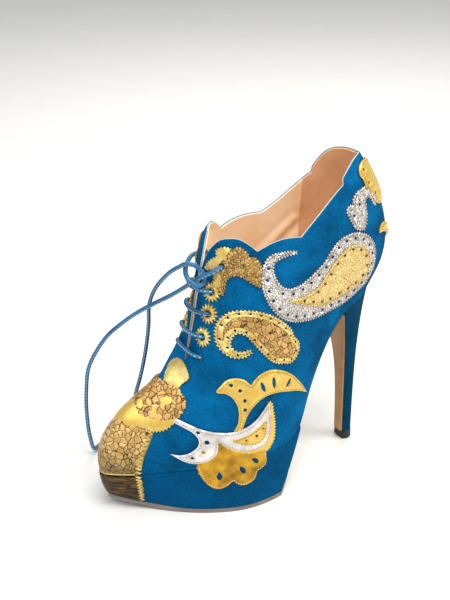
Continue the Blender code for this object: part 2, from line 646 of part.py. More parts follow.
def build_toe_cap():
    s = np.linspace(CAP_SECTION, LOOP - CAP_SECTION, CAP_COLUMNS + 1)
    top = np.array([cap_top(one) for one in s])[:, None]
    v = CAP_LOW + (top - CAP_LOW) * np.linspace(0, 1, CAP_ROWS + 1)[None, :]
    s = np.repeat(s[:, None], CAP_ROWS + 1, 1)
    return add_object("toe_cap", lambda bm: add_grid_sheet(bm, last_point(s, v), last_normal(s, v),
                                                           ORNAMENT_LIFT))


def build_toe_band():
    rise = np.linspace(BAND_LOW, BAND_HIGH, 3)
    edge = CAP_SECTION - BAND_SLANT * (1 - rise)
    share = np.linspace(0, 1, CAP_COLUMNS // 2 + 1)[:, None]
    half = edge + (LAST - edge) * share
    sides = [platform_wall(half, side, rise) for side in (1, -1)]
    out = [plan_out(half), plan_out(LOOP - half)]
    base = np.concatenate([sides[0], sides[1][-2::-1]])
    out = np.concatenate([out[0], out[1][-2::-1]])
    return add_object("toe_band", lambda bm: add_grid_sheet(bm, base, out, ORNAMENT_LIFT))


# Lace: eyelets down both sides of the slit, bars across it, then two free ends tied once
Eyelet = namedtuple("Eyelet", "x z sunburst")
EYELETS = [Eyelet(97.6, 150.3, False), Eyelet(104, 134.5, True), Eyelet(107, 121.7, True),
           Eyelet(110.8, 107.5, True), Eyelet(114, 95.8, False)]
SUNBURST_RADIUS = 5.5
SUNBURST_HOLE = 2.2
BAR_LIFT = 1.95           # middle of the lace over bare suede
SLIT_EDGE_U = -4.0        # the slit's edge in the quarter chart, beside the second row
SLIT_LEAN = 0.75          # how fast that edge runs forward with the rows


def eyelet_place(eyelet, side):
    point, out = drop(side_chart, side, [(eyelet.x, eyelet.z)])
    return point[0], out[0]


def disc_frame(out):
    """Two directions across an eyelet."""
    right = unit(np.cross(out, [0, 0, 1.0]))
    return right, np.cross(right, out)


def build_punch():
    """Ten pins that cut the eyelet holes."""
    def fill(bm):
        for eyelet in EYELETS:
            for side in (1, -1):
                point, out = eyelet_place(eyelet, side)
                right, up = disc_frame(out)
                turn = np.linspace(0, 2 * math.pi, 10, endpoint=False)[:, None]
                ring = point + EYELET_RADIUS * (np.cos(turn) * right + np.sin(turn) * up)
                add_rings(bm, [ring - 5 * out, ring + 4 * out])
    punch = add_object("eyelet_punch", fill)
    punch.hide_render = True
    punch.display_type = "WIRE"
    return punch


def punch_holes(obj, punch):
    cut = obj.modifiers.new("eyelets", "BOOLEAN")
    cut.operation = "DIFFERENCE"
    cut.object = punch


def build_sunburst(row, label, side):
    point, out = eyelet_place(EYELETS[row], side)
    right, up = disc_frame(out)
    near, far = ORNAMENT_LIFT, ORNAMENT_LIFT + APPLIQUE_THICKNESS
    rings = []
    for turn in np.linspace(0, 2 * math.pi, 12, endpoint=False):
        across = math.cos(turn) * right + math.sin(turn) * up
        edges = []
        for radius in (SUNBURST_HOLE, SUNBURST_RADIUS):
            at = point + radius * across
            hit = SURFACE.ray_cast(Vector(at + 20 * out), Vector(-out))[0]
            edges.append(np.array(hit))
        a, b = edges
        rings.append([a + near * out, b + near * out, b + far * out, a + far * out])
    return add_object(f"sunburst_{row + 1}_{label}", lambda bm: add_rings(bm, rings, closed=True))


def bar_route(row):
    """Middle line of the lace across the slit, from the outer eyelet to the inner one."""
    eyelet = EYELETS[row]
    lift = BAR_LIFT + (ORNAMENT_LIFT + APPLIQUE_THICKNESS if eyelet.sunburst else 0.0)
    route = []
    for side in (1, -1):
        start = eyelet_place(eyelet, side)[0]
        ahead = start[0] - QUARTER_X
        u = (side * start[1] - QUARTER_Y) * math.cos(QUARTER_TURN) - ahead * math.sin(QUARTER_TURN)
        edge = SLIT_EDGE_U - SLIT_LEAN * ahead
        flat = [(u + (edge - u) * share, eyelet.z) for share in (0, 0.45, 0.85)]
        points, out = drop(quarter_chart, side, flat)
        points = points + lift * out
        route += list(points if side > 0 else points[::-1])
    return route


def add_tube(bm, route, radius, sides=8):
    """A round rod along a route, with flat ends."""
    route = np.asarray(route, float)
    along = unit(np.gradient(route, axis=0))
    right = unit(np.cross(along[0], [0, 0, 1.0]))
    rings = []
    for point, ahead in zip(route, along):
        right = unit(right - ahead * np.dot(right, ahead))
        up = np.cross(ahead, right)
        turn = np.linspace(0, 2 * math.pi, sides, endpoint=False)[:, None]
        rings.append(point + radius * (np.cos(turn) * right + np.sin(turn) * up))
    add_rings(bm, rings)


def build_lace_bar(row):
    route = curve(bar_route(row), 4.0)
    return add_object(f"lace_bar_{row + 1}", lambda bm: add_tube(bm, route, LACE_DIAMETER / 2))


# The lace's two free ends. One runs straight from the top outer eyelet, the other comes from the
# inner one, makes a turn round it and leaves over its own start. Both fall past the toe's inner side.
TAIL_STEP = 6.5
OUTER_TAIL = [(98.5, 16.8, 151.6), (104, 13.8, 148.5), (109, 10.3, 145.3), (112.3, 4.6, 140.5),
              (113.8, -0.4, 136.4), (119.3, -10.8, 127.3), (126.1, -22, 118.4), (134.5, -33, 108.5),
              (141, -41, 99.5), (147, -47, 91), (153, -51, 80.5), (158, -55, 67), (160, -56.5, 50),
              (160.5, -57, 33), (159, -57.5, 14), (156, -59.5, 4), (150, -64.5, 2), (143, -69.5, 2),
              (136, -74, 2.2)]
INNER_TAIL = [(100.5, -16.2, 152), (105.9, -10.5, 149.8), (110.8, -6.6, 147.7), (114.2, -2.2, 146.2),
              (116.2, 2.2, 145.2), (116.5, 6.2, 142.9), (114.4, 8.2, 140.6), (111.4, 9, 139.2),
              (108.7, 9, 139.9), (106.8, 7.7, 140.6), (106.3, 6.6, 142.4), (106.4, 5.9, 144.3),
              (108, 3.4, 147.3), (111.2, 1.7, 149.6), (114, -0.8, 149.9), (117, -6.3, 146.2),
              (119.4, -11.5, 142), (121.6, -16, 137), (124.4, -24, 126.5), (125.2, -30.5, 115),
              (124, -36, 97), (124.6, -40.5, 78), (127.5, -43, 60), (131, -45.5, 44), (133, -47, 27),
              (134, -50.5, 9), (132.5, -55, 3), (125, -58.5, 2), (112, -62, 2.2)]

# Tassels: strips of lace leather in a bound bunch, flattened on the floor
TASSEL_NECK = 5.6         # length of the binding, where the strips start to spread
Bunch = namedtuple("Bunch", "along radius")
TASSEL = [Bunch(0, 1.7), Bunch(1.2, 2.6), Bunch(4.2, 2.6), Bunch(TASSEL_NECK, 2.0), Bunch(11, 3.2),
          Bunch(18, 4.2), Bunch(24, 4.8)]
TASSEL_STRIPS = 6
FLOOR_GAP = 0.4
TASSEL_FLAT = 0.62        # height of the bunch against its width
STRIP_DEPTH = 0.22        # how far the grooves between strips go in
STRIP_UNEVEN = 2.2        # how far the strips' ends differ


def build_tail(name, points):
    route = curve(points, TAIL_STEP)
    line = bpy.data.curves.new(name, "CURVE")
    line.dimensions = "3D"
    line.bevel_depth = LACE_DIAMETER / 2 * MM
    line.bevel_resolution = 2
    line.use_fill_caps = True
    spline = line.splines.new("POLY")
    spline.points.add(len(route) - 1)
    for point, at in zip(spline.points, route):
        point.co = (*(at * MM), 1.0)
    obj = bpy.data.objects.new(name, line)
    bpy.context.scene.collection.objects.link(obj)
    return obj


def build_tassel(name, points):
    end = np.array(points[-1], float)
    ahead = end - np.array(points[-2], float)
    ahead = unit(np.array([ahead[0], ahead[1], 0]))
    right = np.array([ahead[1], -ahead[0], 0])
    turn = np.linspace(0, 2 * math.pi, 3 * TASSEL_STRIPS, endpoint=False)
    rings = []
    for bunch in TASSEL:
        loose = smooth((bunch.along - TASSEL_NECK) / TASSEL_NECK)
        radius = bunch.radius * (1 - loose * STRIP_DEPTH * (0.5 + 0.5 * np.cos(TASSEL_STRIPS * turn)))
        flat = 1 - loose * (1 - TASSEL_FLAT)
        uneven = np.sin(2 * np.round(turn * TASSEL_STRIPS / (2 * math.pi)))
        reach = bunch.along + STRIP_UNEVEN * uneven * loose * (bunch.along / TASSEL[-1].along) ** 4
        middle = max(end[2] * (1 - loose), flat * bunch.radius + FLOOR_GAP)
        ring = (end + (SEAT_GAP + reach[:, None]) * ahead + (radius * np.cos(turn))[:, None] * right)
        ring[:, 2] = middle + flat * radius * np.sin(turn)
        rings.append(ring)
    return add_object(name, lambda bm: add_rings(bm, rings))


def material(name, colour, roughness, metallic=0.0):
    mat = bpy.data.materials.new(name)
    mat.use_nodes = True
    shader = mat.node_tree.nodes["Principled BSDF"]
    shader.inputs["Base Color"].default_value = (*colour, 1.0)
    shader.inputs["Roughness"].default_value = roughness
    shader.inputs["Metallic"].default_value = metallic
    mat.diffuse_color = (*colour, 1.0)
    return mat


# Finishes by the words that a piece's name starts with
Finish = namedtuple("Finish", "pieces colour roughness metallic")
FINISHES = [
    Finish(("upper",), (0.005, 0.11, 0.33), 0.9, 0.0),
    Finish(("platform", "heel"), (0.003, 0.10, 0.20), 0.9, 0.0),
    Finish(("heel_tip",), (0.01, 0.01, 0.012), 0.6, 0.0),
    Finish(("insole",), (0.58, 0.33, 0.15), 0.6, 0.0),
    Finish(("outsole",), (0.62, 0.56, 0.50), 0.5, 0.0),
    Finish(("breast_cover",), (0.48, 0.26, 0.09), 0.5, 0.0),
    Finish(("silver", "branch"), (0.60, 0.55, 0.52), 0.35, 0.9),
    Finish(("toe_cap", "toe_band", "toe_body", "mid_paisley"), (0.43, 0.25, 0.07), 0.4, 0.8),
    Finish(("gold", "back", "collar", "double", "crescent", "fan", "toe_neck", "sunburst"),
           (0.74, 0.46, 0.06), 0.3, 0.8),
    Finish(("lace", "tassel"), (0.05, 0.22, 0.46), 0.5, 0.0),
]


def finish_for(name):
    """The finish whose word matches most of the piece's name."""
    matches = [(len(word), finish) for finish in FINISHES for word in finish.pieces if name.startswith(word)]
    return max(matches, key=lambda match: match[0])[1]


def place(shoe, lace_ends):
    """Stand the shoe with the middle of its box over the frame's origin."""
    bpy.context.view_layer.update()
    corners = np.concatenate([np.array([v.co for v in o.data.vertices]) for o in shoe])
    low, high = corners.min(0), corners.max(0)
    frame = bpy.data.objects.new("shoe_frame", None)
    bpy.context.scene.collection.objects.link(frame)
    frame.location = (-(low[0] + high[0]) / 2, -(low[1] + high[1]) / 2, -low[2])
    for obj in shoe + lace_ends:
        obj.parent = frame


def main():
    for obj in list(bpy.data.objects):
        bpy.data.objects.remove(obj, do_unlink=True)
    upper = build_upper()
    shoe = [upper, build_insole(), build_platform(), build_outsole(), build_heel(), build_heel_tip(),
            build_breast_cover(), build_toe_cap(), build_toe_band()]
    shoe += [build_ornament(ornament, label, side) for ornament in ORNAMENTS
             for label, side in ornament.sides]
    shoe += [build_sunburst(row, label, side) for row, eyelet in enumerate(EYELETS) if eyelet.sunburst
             for label, side in BOTH]
    shoe += [build_lace_bar(row) for row in range(1, len(EYELETS))]
    punch = build_punch()
    for obj in shoe:
        if obj is upper or obj.name.startswith("collar_leaf"):
            punch_holes(obj, punch)
    lace_ends = []
    for label, points in (("outer", OUTER_TAIL), ("inner", INNER_TAIL)):
        lace_ends += [build_tail(f"lace_tail_{label}", points), build_tassel(f"tassel_{label}", points)]
    for obj in shoe + lace_ends:
        finish = finish_for(obj.name)
        obj.data.materials.append(material(obj.name, finish.colour, finish.roughness, finish.metallic))
    place(shoe, lace_ends + [punch])


if __name__ == "__main__":
    main()
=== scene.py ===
"""Finish of a lace-up platform shoe with a stiletto heel, left foot.

The solids of the shoe are the frame. Each operator below dresses one piece or a group of like pieces
with suede, foil leather, lace or stitching, and the stage operator sets floor, light and camera.
Design functions work in millimetres, +X to the toe, +Y to the outer side, +Z up, with zero on the
floor under the middle of the heel tip.
"""

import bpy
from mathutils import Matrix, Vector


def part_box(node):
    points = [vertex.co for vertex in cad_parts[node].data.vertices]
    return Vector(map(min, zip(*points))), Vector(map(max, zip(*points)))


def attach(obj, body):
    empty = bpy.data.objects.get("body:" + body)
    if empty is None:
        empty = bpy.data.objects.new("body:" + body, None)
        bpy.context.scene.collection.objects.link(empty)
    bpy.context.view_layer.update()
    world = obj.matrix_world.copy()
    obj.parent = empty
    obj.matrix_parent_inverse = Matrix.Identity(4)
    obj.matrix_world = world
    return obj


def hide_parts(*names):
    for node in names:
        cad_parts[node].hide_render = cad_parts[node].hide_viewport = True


bl_info = {
    "name": "Paisley Platform Shoe",
    "version": (1, 0, 0),
    "blender": (4, 5, 0),
    "location": "View3D > Sidebar > Shoe",
    "description": "Dresses a lace-up platform shoe with suede, foil leather ornament and a tied lace",
    "category": "Object",
}

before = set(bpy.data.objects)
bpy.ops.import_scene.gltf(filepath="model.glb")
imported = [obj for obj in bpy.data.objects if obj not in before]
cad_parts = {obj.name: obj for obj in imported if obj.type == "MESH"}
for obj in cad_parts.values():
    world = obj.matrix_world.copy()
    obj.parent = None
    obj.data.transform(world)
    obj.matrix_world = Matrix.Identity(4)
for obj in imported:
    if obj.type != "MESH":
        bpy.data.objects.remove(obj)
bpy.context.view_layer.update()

import math
from collections import namedtuple
from functools import partial

import bmesh
import bpy
import numpy as np
from bpy.props import FloatProperty, FloatVectorProperty, PointerProperty
from mathutils import Matrix, Vector
from mathutils.bvhtree import BVHTree
from mathutils.geometry import delaunay_2d_cdt
from mathutils.interpolate import poly_3d_calc

MM = 0.001
TIP_LOW, TIP_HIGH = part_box("heel_tip")
TIP_BACK = 5.75  # from the zero of the design functions back to the edge of the heel tip
SHIFT = np.array([TIP_LOW.x + TIP_BACK * MM, (TIP_LOW.y + TIP_HIGH.y) / 2, 0.0])

# Sizes shared with the solids
WALL = 2.0
SEAT_GAP = 0.3
INSOLE_THICKNESS = 2.0
OUTSOLE_THICKNESS = 2.6
TOE_SPRING = 5.0
TIP_HEIGHT = 6.0
APPLIQUE_THICKNESS = 0.9
ORNAMENT_LIFT = 0.5
LACE_DIAMETER = 3.0
EYELET_RADIUS = 1.9


def linear(code):
    """Linear colour of an sRGB hex value."""
    parts = [int(code[k:k + 2], 16) / 255 for k in (1, 3, 5)]
    return tuple(c / 12.92 if c <= 0.04045 else ((c + 0.055) / 1.055) ** 2.4 for c in parts)


class ShoeSizes(bpy.types.PropertyGroup):
    """Sizes of the finish."""

    edge_bead: FloatProperty(
        name="Edge bead", description="Radius of the raw leather edge along the topline",
        default=0.36 * MM, unit="LENGTH")
    tooth: FloatProperty(
        name="Pinking tooth", description="Width of one tooth of a pinked edge",
        default=2.0 * MM, unit="LENGTH")
    tooth_depth: FloatProperty(
        name="Tooth depth", description="Height of one tooth of a pinked edge",
        default=1.1 * MM, unit="LENGTH")
    stitch_spacing: FloatProperty(
        name="Stitch spacing", description="Distance from one stitch to the next",
        default=1.75 * MM, unit="LENGTH")
    stitch_length: FloatProperty(
        name="Stitch length", description="Length of one stitch", default=1.15 * MM, unit="LENGTH")
    stitch_width: FloatProperty(
        name="Stitch width", description="Thickness of the thread", default=0.5 * MM, unit="LENGTH")
    crackle: FloatProperty(
        name="Crackle", description="Width of one scale of the crackled foil on the toe cap",
        default=3.2 * MM, unit="LENGTH")
    nap: FloatProperty(
        name="Nap", description="Size of the suede's tufts", default=0.9 * MM, unit="LENGTH")


class ShoeColours(bpy.types.PropertyGroup):
    """Colours of the finish, linear."""

    suede: FloatVectorProperty(
        name="Suede", description="Blue of the upper", subtype="COLOR", default=linear("#04659a"))
    # A painted shade: the upper's blue darkened for the platform
    suede_low: FloatVectorProperty(
        name="Low suede", description="Deeper blue of platform and heel", subtype="COLOR",
        default=linear("#034f7d"))
    gold: FloatVectorProperty(
        name="Gold", description="Smooth gold foil", subtype="COLOR", default=linear("#e1c162"))
    silver: FloatVectorProperty(
        name="Silver", description="Silver foil", subtype="COLOR", default=linear("#eae6e1"))
    lace: FloatVectorProperty(
        name="Lace", description="Blue of the lace", subtype="COLOR", default=linear("#1a6a94"))


def size(name):
    """A size of the finish in millimetres."""
    return getattr(bpy.context.scene.shoe_sizes, name) / MM


def colour(name):
    return (*getattr(bpy.context.scene.shoe_colours, name), 1.0)


def tint(code):
    return (*linear(code), 1.0)


# Sections of the last, from the middle of the heel to the tip of the toe. Each one is a rib from
# the feather edge (x, outer, inner, z) to the edge of the opening (top_x, top_y, top_z). The two
# handles shape it: "low" leaves the feather edge, "high" comes down from the opening.
Section = namedtuple(
    "Section", "name x outer inner z low_x low_y low_z top_x top_y top_z high_x high_y high_z")
SECTIONS = [
    Section("heel_back", -11.5, 0, 0, 121, -21, 0, 19, 3.5, 0, 208, -22, 0, -30),
    Section("heel_round", -8.5, 10, -10, 120.5, -18, 6, 19, 7, 10.5, 207, -17.5, 4, -29),
    Section("heel_side", -2, 17, -16.5, 117.5, -9.5, 8, 20, 14, 17, 203, -10, 5.5, -29),
    Section("seat_front", 7, 21, -20, 111.5, -4.5, 7.5, 22, 25, 20.5, 190, -9, 5, -26),
    Section("breast", 20, 22.5, -20, 103, -3, 8, 25, 37, 22.5, 178, -9, 5, -24),
    Section("high_waist", 34, 24.5, -18.5, 83, -1, 9, 29, 50, 23, 171, -7, 6, -26),
    Section("waist", 47, 29, -19, 58, 2, 9, 34, 64, 22.5, 169, -6, 9, -30),
    Section("low_waist", 60, 36, -22.5, 38, 4, 8, 36, 79, 21, 168, -7, 12, -36),
    Section("ball_back", 80, 42, -30, 36, 3, 4.5, 32, 92, 13.5, 168, -4, 17, -42),
    Section("ball", 100, 42.3, -35.5, 35.5, 2, 3, 30, 103, 2.5, 154, 0, 21, -38),
    Section("ball_front", 118, 36, -36, 33, 1, 3, 28, 109, 1.9, 128, 0, 20, -30),
    Section("vamp", 134, 26.5, -32.5, 29.5, 1.5, 4, 22, 113.5, 1.6, 104, 2, 17, -19),
    Section("toe_side", 148, 16, -27, 26, 2.5, 5, 23, 115.5, 1.3, 94, 7, 13, -17),
    Section("toe_shoulder", 160, 8.2, -20, 24.5, 4, 4.5, 25, 116.6, 0.9, 90, 16, 9, -16),
    Section("toe_round", 169, 1.2, -11.5, 23.6, 6.5, 2.5, 28, 117.1, 0.45, 88.8, 26, 4.5, -17),
    Section("toe_tip", 172, -4, -4, 23.3, 6.5, 0, 29, 117.3, 0, 88.4, 33, 0, -18.4),
]
INNER_INSTEP = 0.7  # the inner side of the instep is flatter, from the ball forward
INNER_INSTEP_FROM = 100
LAST = len(SECTIONS) - 1
LOOP = 2 * LAST


def section_rows():
    """Control rows of the closed loop of ribs: outer side heel to toe, then inner side toe to heel."""
    def row(sec, side):
        edge = sec.outer if side > 0 else sec.inner
        flat = INNER_INSTEP if side < 0 and sec.x >= INNER_INSTEP_FROM else 1.0
        feather = np.array([sec.x, edge, sec.z], float)
        top = np.array([sec.top_x, side * sec.top_y, sec.top_z], float)
        low = feather + [sec.low_x, side * sec.low_y * flat, sec.low_z]
        high = top + [sec.high_x, side * sec.high_y * flat, sec.high_z]
        return [feather, low, high, top]
    outer = [row(sec, 1) for sec in SECTIONS]
    inner = [row(sec, -1) for sec in SECTIONS[LAST - 1:0:-1]]
    return np.array(outer + inner)


def closed_spline_slopes(rows):
    """Slopes that make a closed cubic spline through evenly numbered rows."""
    count = len(rows)
    system = 4.0 * np.eye(count) + np.roll(np.eye(count), 1, 1) + np.roll(np.eye(count), -1, 1)
    flat = rows.reshape(count, -1)
    right = 3.0 * (np.roll(flat, -1, 0) - np.roll(flat, 1, 0))
    return np.linalg.solve(system, right).reshape(rows.shape)


ROWS = section_rows()
SLOPES = closed_spline_slopes(ROWS)


def hermite(t, start, start_slope, end, end_slope):
    """Cubic from one value to another, with t from 0 to 1."""
    return ((1 + 2 * t) * (1 - t) ** 2 * start + t * (1 - t) ** 2 * start_slope
            + t * t * (3 - 2 * t) * end + t * t * (t - 1) * end_slope)


def rib(s):
    """The four control points of the rib at loop position s (array), shape (n, 4, 3)."""
    s = np.asarray(s, float) % LOOP
    i = np.floor(s).astype(int) % LOOP
    j = (i + 1) % LOOP
    t = (s - np.floor(s))[:, None, None]
    return hermite(t, ROWS[i], SLOPES[i], ROWS[j], SLOPES[j])


def together(a, b):
    """Two numbers or arrays as arrays of one shape."""
    return np.broadcast_arrays(np.asarray(a, float), np.asarray(b, float))


def last_point(s, v):
    """Point of the upper's outer face: s runs round the foot, v up from the feather edge."""
    s, v = together(s, v)
    shape = s.shape
    c = rib(s.ravel())
    v = v.ravel()[:, None]
    point = ((1 - v) ** 3 * c[:, 0] + 3 * v * (1 - v) ** 2 * c[:, 1]
             + 3 * v * v * (1 - v) * c[:, 2] + v ** 3 * c[:, 3])
    return point.reshape(shape + (3,))


def unit(a):
    """Vectors brought to length one."""
    return a / np.linalg.norm(a, axis=-1, keepdims=True)


# Steps to the neighbouring places from which a direction is worked out
S_STEP, V_STEP = 0.02, 0.004
BED_STEP, PLAN_STEP = 0.05, 0.03


def last_normal(s, v):
    """Outward direction of the upper's outer face."""
    s, v = together(s, v)
    along = last_point(s + S_STEP, v) - last_point(s - S_STEP, v)
    up = last_point(s, np.clip(v + V_STEP, 0, 1)) - last_point(s, np.clip(v - V_STEP, 0, 1))
    return unit(np.cross(up, along))


# Topline from the heel's middle to the toe: spans of sections, with the share of each rib that is kept
# at both ends, a rounded rise between them and the mesh columns used. The inner side is cut lower.
Span = namedtuple("Span", "name start end from_v to_v rise columns")
FRONT_TOPLINE = [
    Span("scallop", 5.25, 7.22, 0.913, 0.922, 0.03, 5),
    Span("lobe_rise", 7.22, 8.0, 0.922, 0.986, 0.012, 3),
    Span("lobe", 8.0, 8.4, 0.986, 1.0, 0.0, 2),
    Span("slit", 8.4, 11.6, 1.0, 1.0, 0.0, 8),
    Span("toe", 11.6, 15.0, 1.0, 1.0, 0.0, 7),
]
OUTER_TOPLINE = [
    Span("tab", 0.0, 2.7, 0.918, 0.978, 0.012, 5),
    Span("tab_edge", 2.7, 2.8, 0.978, 0.945, 0.0, 1),
    Span("quarter", 2.8, 5.25, 0.945, 0.913, 0.045, 6),
] + FRONT_TOPLINE
INNER_TOPLINE = [
    Span("tab", 0.0, 2.55, 0.918, 0.9, 0.02, 5),
    Span("tab_edge", 2.55, 2.65, 0.9, 0.872, 0.0, 1),
    Span("quarter", 2.65, 5.25, 0.875, 0.913, 0.03, 6),
] + FRONT_TOPLINE


def topline(s):
    """Share of the rib at loop position s that lies below the topline."""
    s = np.asarray(s, float) % LOOP
    half = np.minimum(s, LOOP - s)
    share = np.ones_like(half)
    for spans, here in ((OUTER_TOPLINE, s <= LAST), (INNER_TOPLINE, s > LAST)):
        for span in spans:
            t = np.clip((half - span.start) / (span.end - span.start), 0, 1)
            v = span.from_v + (span.to_v - span.from_v) * t + span.rise * 4 * t * (1 - t)
            share = np.where(here & (half >= span.start) & (half <= span.end), v, share)
    return share


def side_columns(spans):
    """Sections of one side's mesh columns, with every corner of the topline on one."""
    half = [0.0]
    for span in spans:
        half += [span.start + (span.end - span.start) * (k + 1) / span.columns
                 for k in range(span.columns)]
    return np.array(half)


def wall_columns():
    """Loop positions of the upper's mesh columns, down the outer side and back along the inner one."""
    return np.concatenate([side_columns(OUTER_TOPLINE), LOOP - side_columns(INNER_TOPLINE)[-2:0:-1]])


# The bottom of the last: straight across between the two feather edges of a section

def loop_place(half, side):
    """Loop position of a section on one side of the shoe."""
    return half if side > 0 else LOOP - half


def feather(half, side):
    """Feather edge of a section, where upper and bottom meet."""
    return last_point(loop_place(np.asarray(half, float), side), 0.0)


def bed_up(half):
    """Upward direction square to the bottom of the last, seen from the side."""
    half = np.asarray(half, float)
    back, ahead = (0.5 * (feather(near, 1) + feather(near, -1))
                   for near in (np.clip(half + step, 0, LAST) for step in (-BED_STEP, BED_STEP)))
    along = ahead - back
    return unit(np.stack([-along[..., 2], np.zeros_like(half), along[..., 0]], -1))


def plan_out(s):
    """Outward direction of the feather line in plan at loop position s."""
    along = last_point(np.asarray(s) + PLAN_STEP, 0.0) - last_point(np.asarray(s) - PLAN_STEP, 0.0)
    return unit(np.stack([-along[..., 1], along[..., 0], np.zeros_like(along[..., 0])], -1))


def bed_edge(half, side, inset, lift):
    """Edge of the bottom of the last at one section, moved inward in plan and lifted."""
    half = np.asarray(half, float)
    return feather(half, side) - inset * plan_out(loop_place(half, side)) + lift * bed_up(half)


# Platform: from the feather edge down to the outsole, its rear face leaning forward to the floor
PLATFORM_BACK = 6.7  # section at the rear of the platform's top
PLATFORM_BACK_LOW = 7.65  # section at the rear of its foot
PLATFORM_OUT = 0.8  # the cover's fullness beyond the feather edge
PLATFORM_FOOT_OUT = 0.4  # and beyond the feather line at its foot
PLATFORM_SWELL = 0.7
TOE_UNDERCUT = 3.5  # the foot of the platform sits back from the toe tip
UNDERCUT_FROM, UNDERCUT_RUN = 140, 31
SPRING_FROM, SPRING_RUN, SPRING_CURVE = 126, 43, 1.7  # where and how the sole rises at the toe


def smooth(t):
    """An even rise from 0 to 1 without corners."""
    t = np.clip(t, 0, 1)
    return t * t * (3 - 2 * t)


def sole_lift(x):
    """Height of the outsole's underside above the floor: flat under the ball, rising at the toe."""
    return TOE_SPRING * np.clip((np.asarray(x) - SPRING_FROM) / SPRING_RUN, 0, 1) ** SPRING_CURVE


def platform_foot(half, side, out):
    """Edge of the platform's foot at the section above it."""
    share = (np.asarray(half, float) - PLATFORM_BACK) / (LAST - PLATFORM_BACK)
    low = PLATFORM_BACK_LOW + share * (LAST - PLATFORM_BACK_LOW)
    edge = feather(low, side) + out * plan_out(loop_place(low, side))
    edge[..., 0] -= TOE_UNDERCUT * smooth((edge[..., 0] - UNDERCUT_FROM) / UNDERCUT_RUN)
    edge[..., 2] = sole_lift(edge[..., 0]) + OUTSOLE_THICKNESS + SEAT_GAP
    return edge


def platform_wall(half, side, rise):
    """Side of the platform: rise 0 at its foot, 1 under the feather edge."""
    half, rise = together(half, rise)
    top = bed_edge(half, side, -PLATFORM_OUT, -SEAT_GAP)
    foot = platform_foot(half, side, PLATFORM_FOOT_OUT)
    share = rise[..., None]
    swell = PLATFORM_SWELL * 4 * share * (1 - share)
    return foot + (top - foot) * share + swell * plan_out(loop_place(half, side))


# Charts: flat views of the shoe in which shapes are drawn. Each gives a point near the shoe and the
# direction to look in.
REACH = 300.0  # how far outside the shoe a chart's rays start
SIDE_Y, BACK_X, TOP_Z = 25, 14, 60  # how far out the side, heel and toe charts lie
TOE_AXIS = -4.0  # y of the middle line of the toe
QUARTER_TURN = math.radians(50)  # the quarter chart looks this far round from the front
QUARTER_X = 104.0  # where its rays start counting, beside the slit
QUARTER_Y = 5.0
HEEL_ASLANT = math.sqrt(0.5)  # the heel chart looks halfway between side and back
INNER_TOE = 0.78  # the toe ornament is narrower on the inner side


def side_chart(side, u, w):
    """Seen square from one side of the shoe: u is x, w is z."""
    return Vector((u, side * SIDE_Y, w)), Vector((0, -side, 0))


def rear_chart(side, u, w):
    """Seen from behind: u is z, w runs out from the middle."""
    return Vector((-BACK_X, side * w, u)), Vector((1, 0, 0))


def heel_chart(side, u, w):
    """Seen half from behind: u runs forward and out, w is z."""
    along = HEEL_ASLANT * u
    near = Vector((along - BACK_X, side * (along + BACK_X), w))
    return near, Vector((HEEL_ASLANT, -side * HEEL_ASLANT, 0))


def quarter_chart(side, u, w):
    """Seen half from the front: u runs back from the slit, w is z."""
    ahead, aside = math.cos(QUARTER_TURN), math.sin(QUARTER_TURN)
    near = Vector((QUARTER_X - aside * u, side * (QUARTER_Y + ahead * u), w))
    return near, Vector((-ahead, -side * aside, 0))


def top_chart(side, u, w):
    """Seen from above: u is x, w runs out from the middle line of the toe."""
    return Vector((u, TOE_AXIS + side * w * (1 if w > 0 else INNER_TOE), TOP_Z)), Vector((0, 0, -1))


def distance_along(points):
    """Length of a line of points up to each of them."""
    return np.concatenate([[0], np.cumsum(np.linalg.norm(np.diff(points, axis=0), axis=1))])


CURVE_FINE = 16  # places worked out between two chosen points


def curve(points, step):
    """Smooth curve through a few chosen points, read at even steps."""
    p = np.array(points, float)
    chord = np.linalg.norm(np.diff(p, axis=0), axis=1)[:, None]
    slope = np.diff(p, axis=0) / chord
    tangent = np.concatenate([slope[:1], slope])
    if len(p) > 2:
        tangent[1:-1] = (slope[:-1] * chord[1:] + slope[1:] * chord[:-1]) / (chord[:-1] + chord[1:])
        tangent[0] = 1.5 * slope[0] - 0.5 * tangent[1]
        tangent[-1] = 1.5 * slope[-1] - 0.5 * tangent[-2]
    t = np.linspace(0, 1, CURVE_FINE, endpoint=False)[:, None]
    dense = [hermite(t, p[k], chord[k] * tangent[k], p[k + 1], chord[k] * tangent[k + 1])
             for k in range(len(chord))]
    dense = np.concatenate(dense + [p[-1:]])
    run = distance_along(dense)
    at = np.linspace(0, run[-1], max(1, round(run[-1] / step)) + 1)
    return np.stack([np.interp(at, run, column) for column in dense.T], -1)


def outline(runs, step):
    """Closed outline from runs of points; each run ends in a corner, where the next one starts."""
    ring, start = [], runs[-1][-1]
    for run in runs:
        ring.append(curve([start] + run, step)[1:])
        start = run[-1]
    return np.concatenate(ring)


def teardrop(spine, step):
    """Outline of a curled drop from rows of (u, w, half width), from its tip to its round head."""
    line = curve(spine, 1.0)
    middle, half = line[:, :2], line[:, 2:]
    along = unit(np.gradient(middle, axis=0))
    across = np.stack([-along[:, 1], along[:, 0]], -1)
    turn = np.linspace(0, math.pi, 13)[1:-1, None]
    head = middle[-1] + half[-1] * (np.cos(turn) * across[-1] + np.sin(turn) * along[-1])
    ring = np.concatenate([middle + half * across, head, (middle - half * across)[::-1]])
    return outline([ring.tolist()], step)


def mirrored(runs, step):
    """Outline from the runs of one half, from the middle line to the middle line."""
    parts = [curve(runs[0], step)]
    for before, run in zip(runs, runs[1:]):
        parts.append(curve([before[-1]] + run, step)[1:])
    half = np.concatenate(parts)
    return np.concatenate([half, (half * [1, -1])[-2:0:-1]])


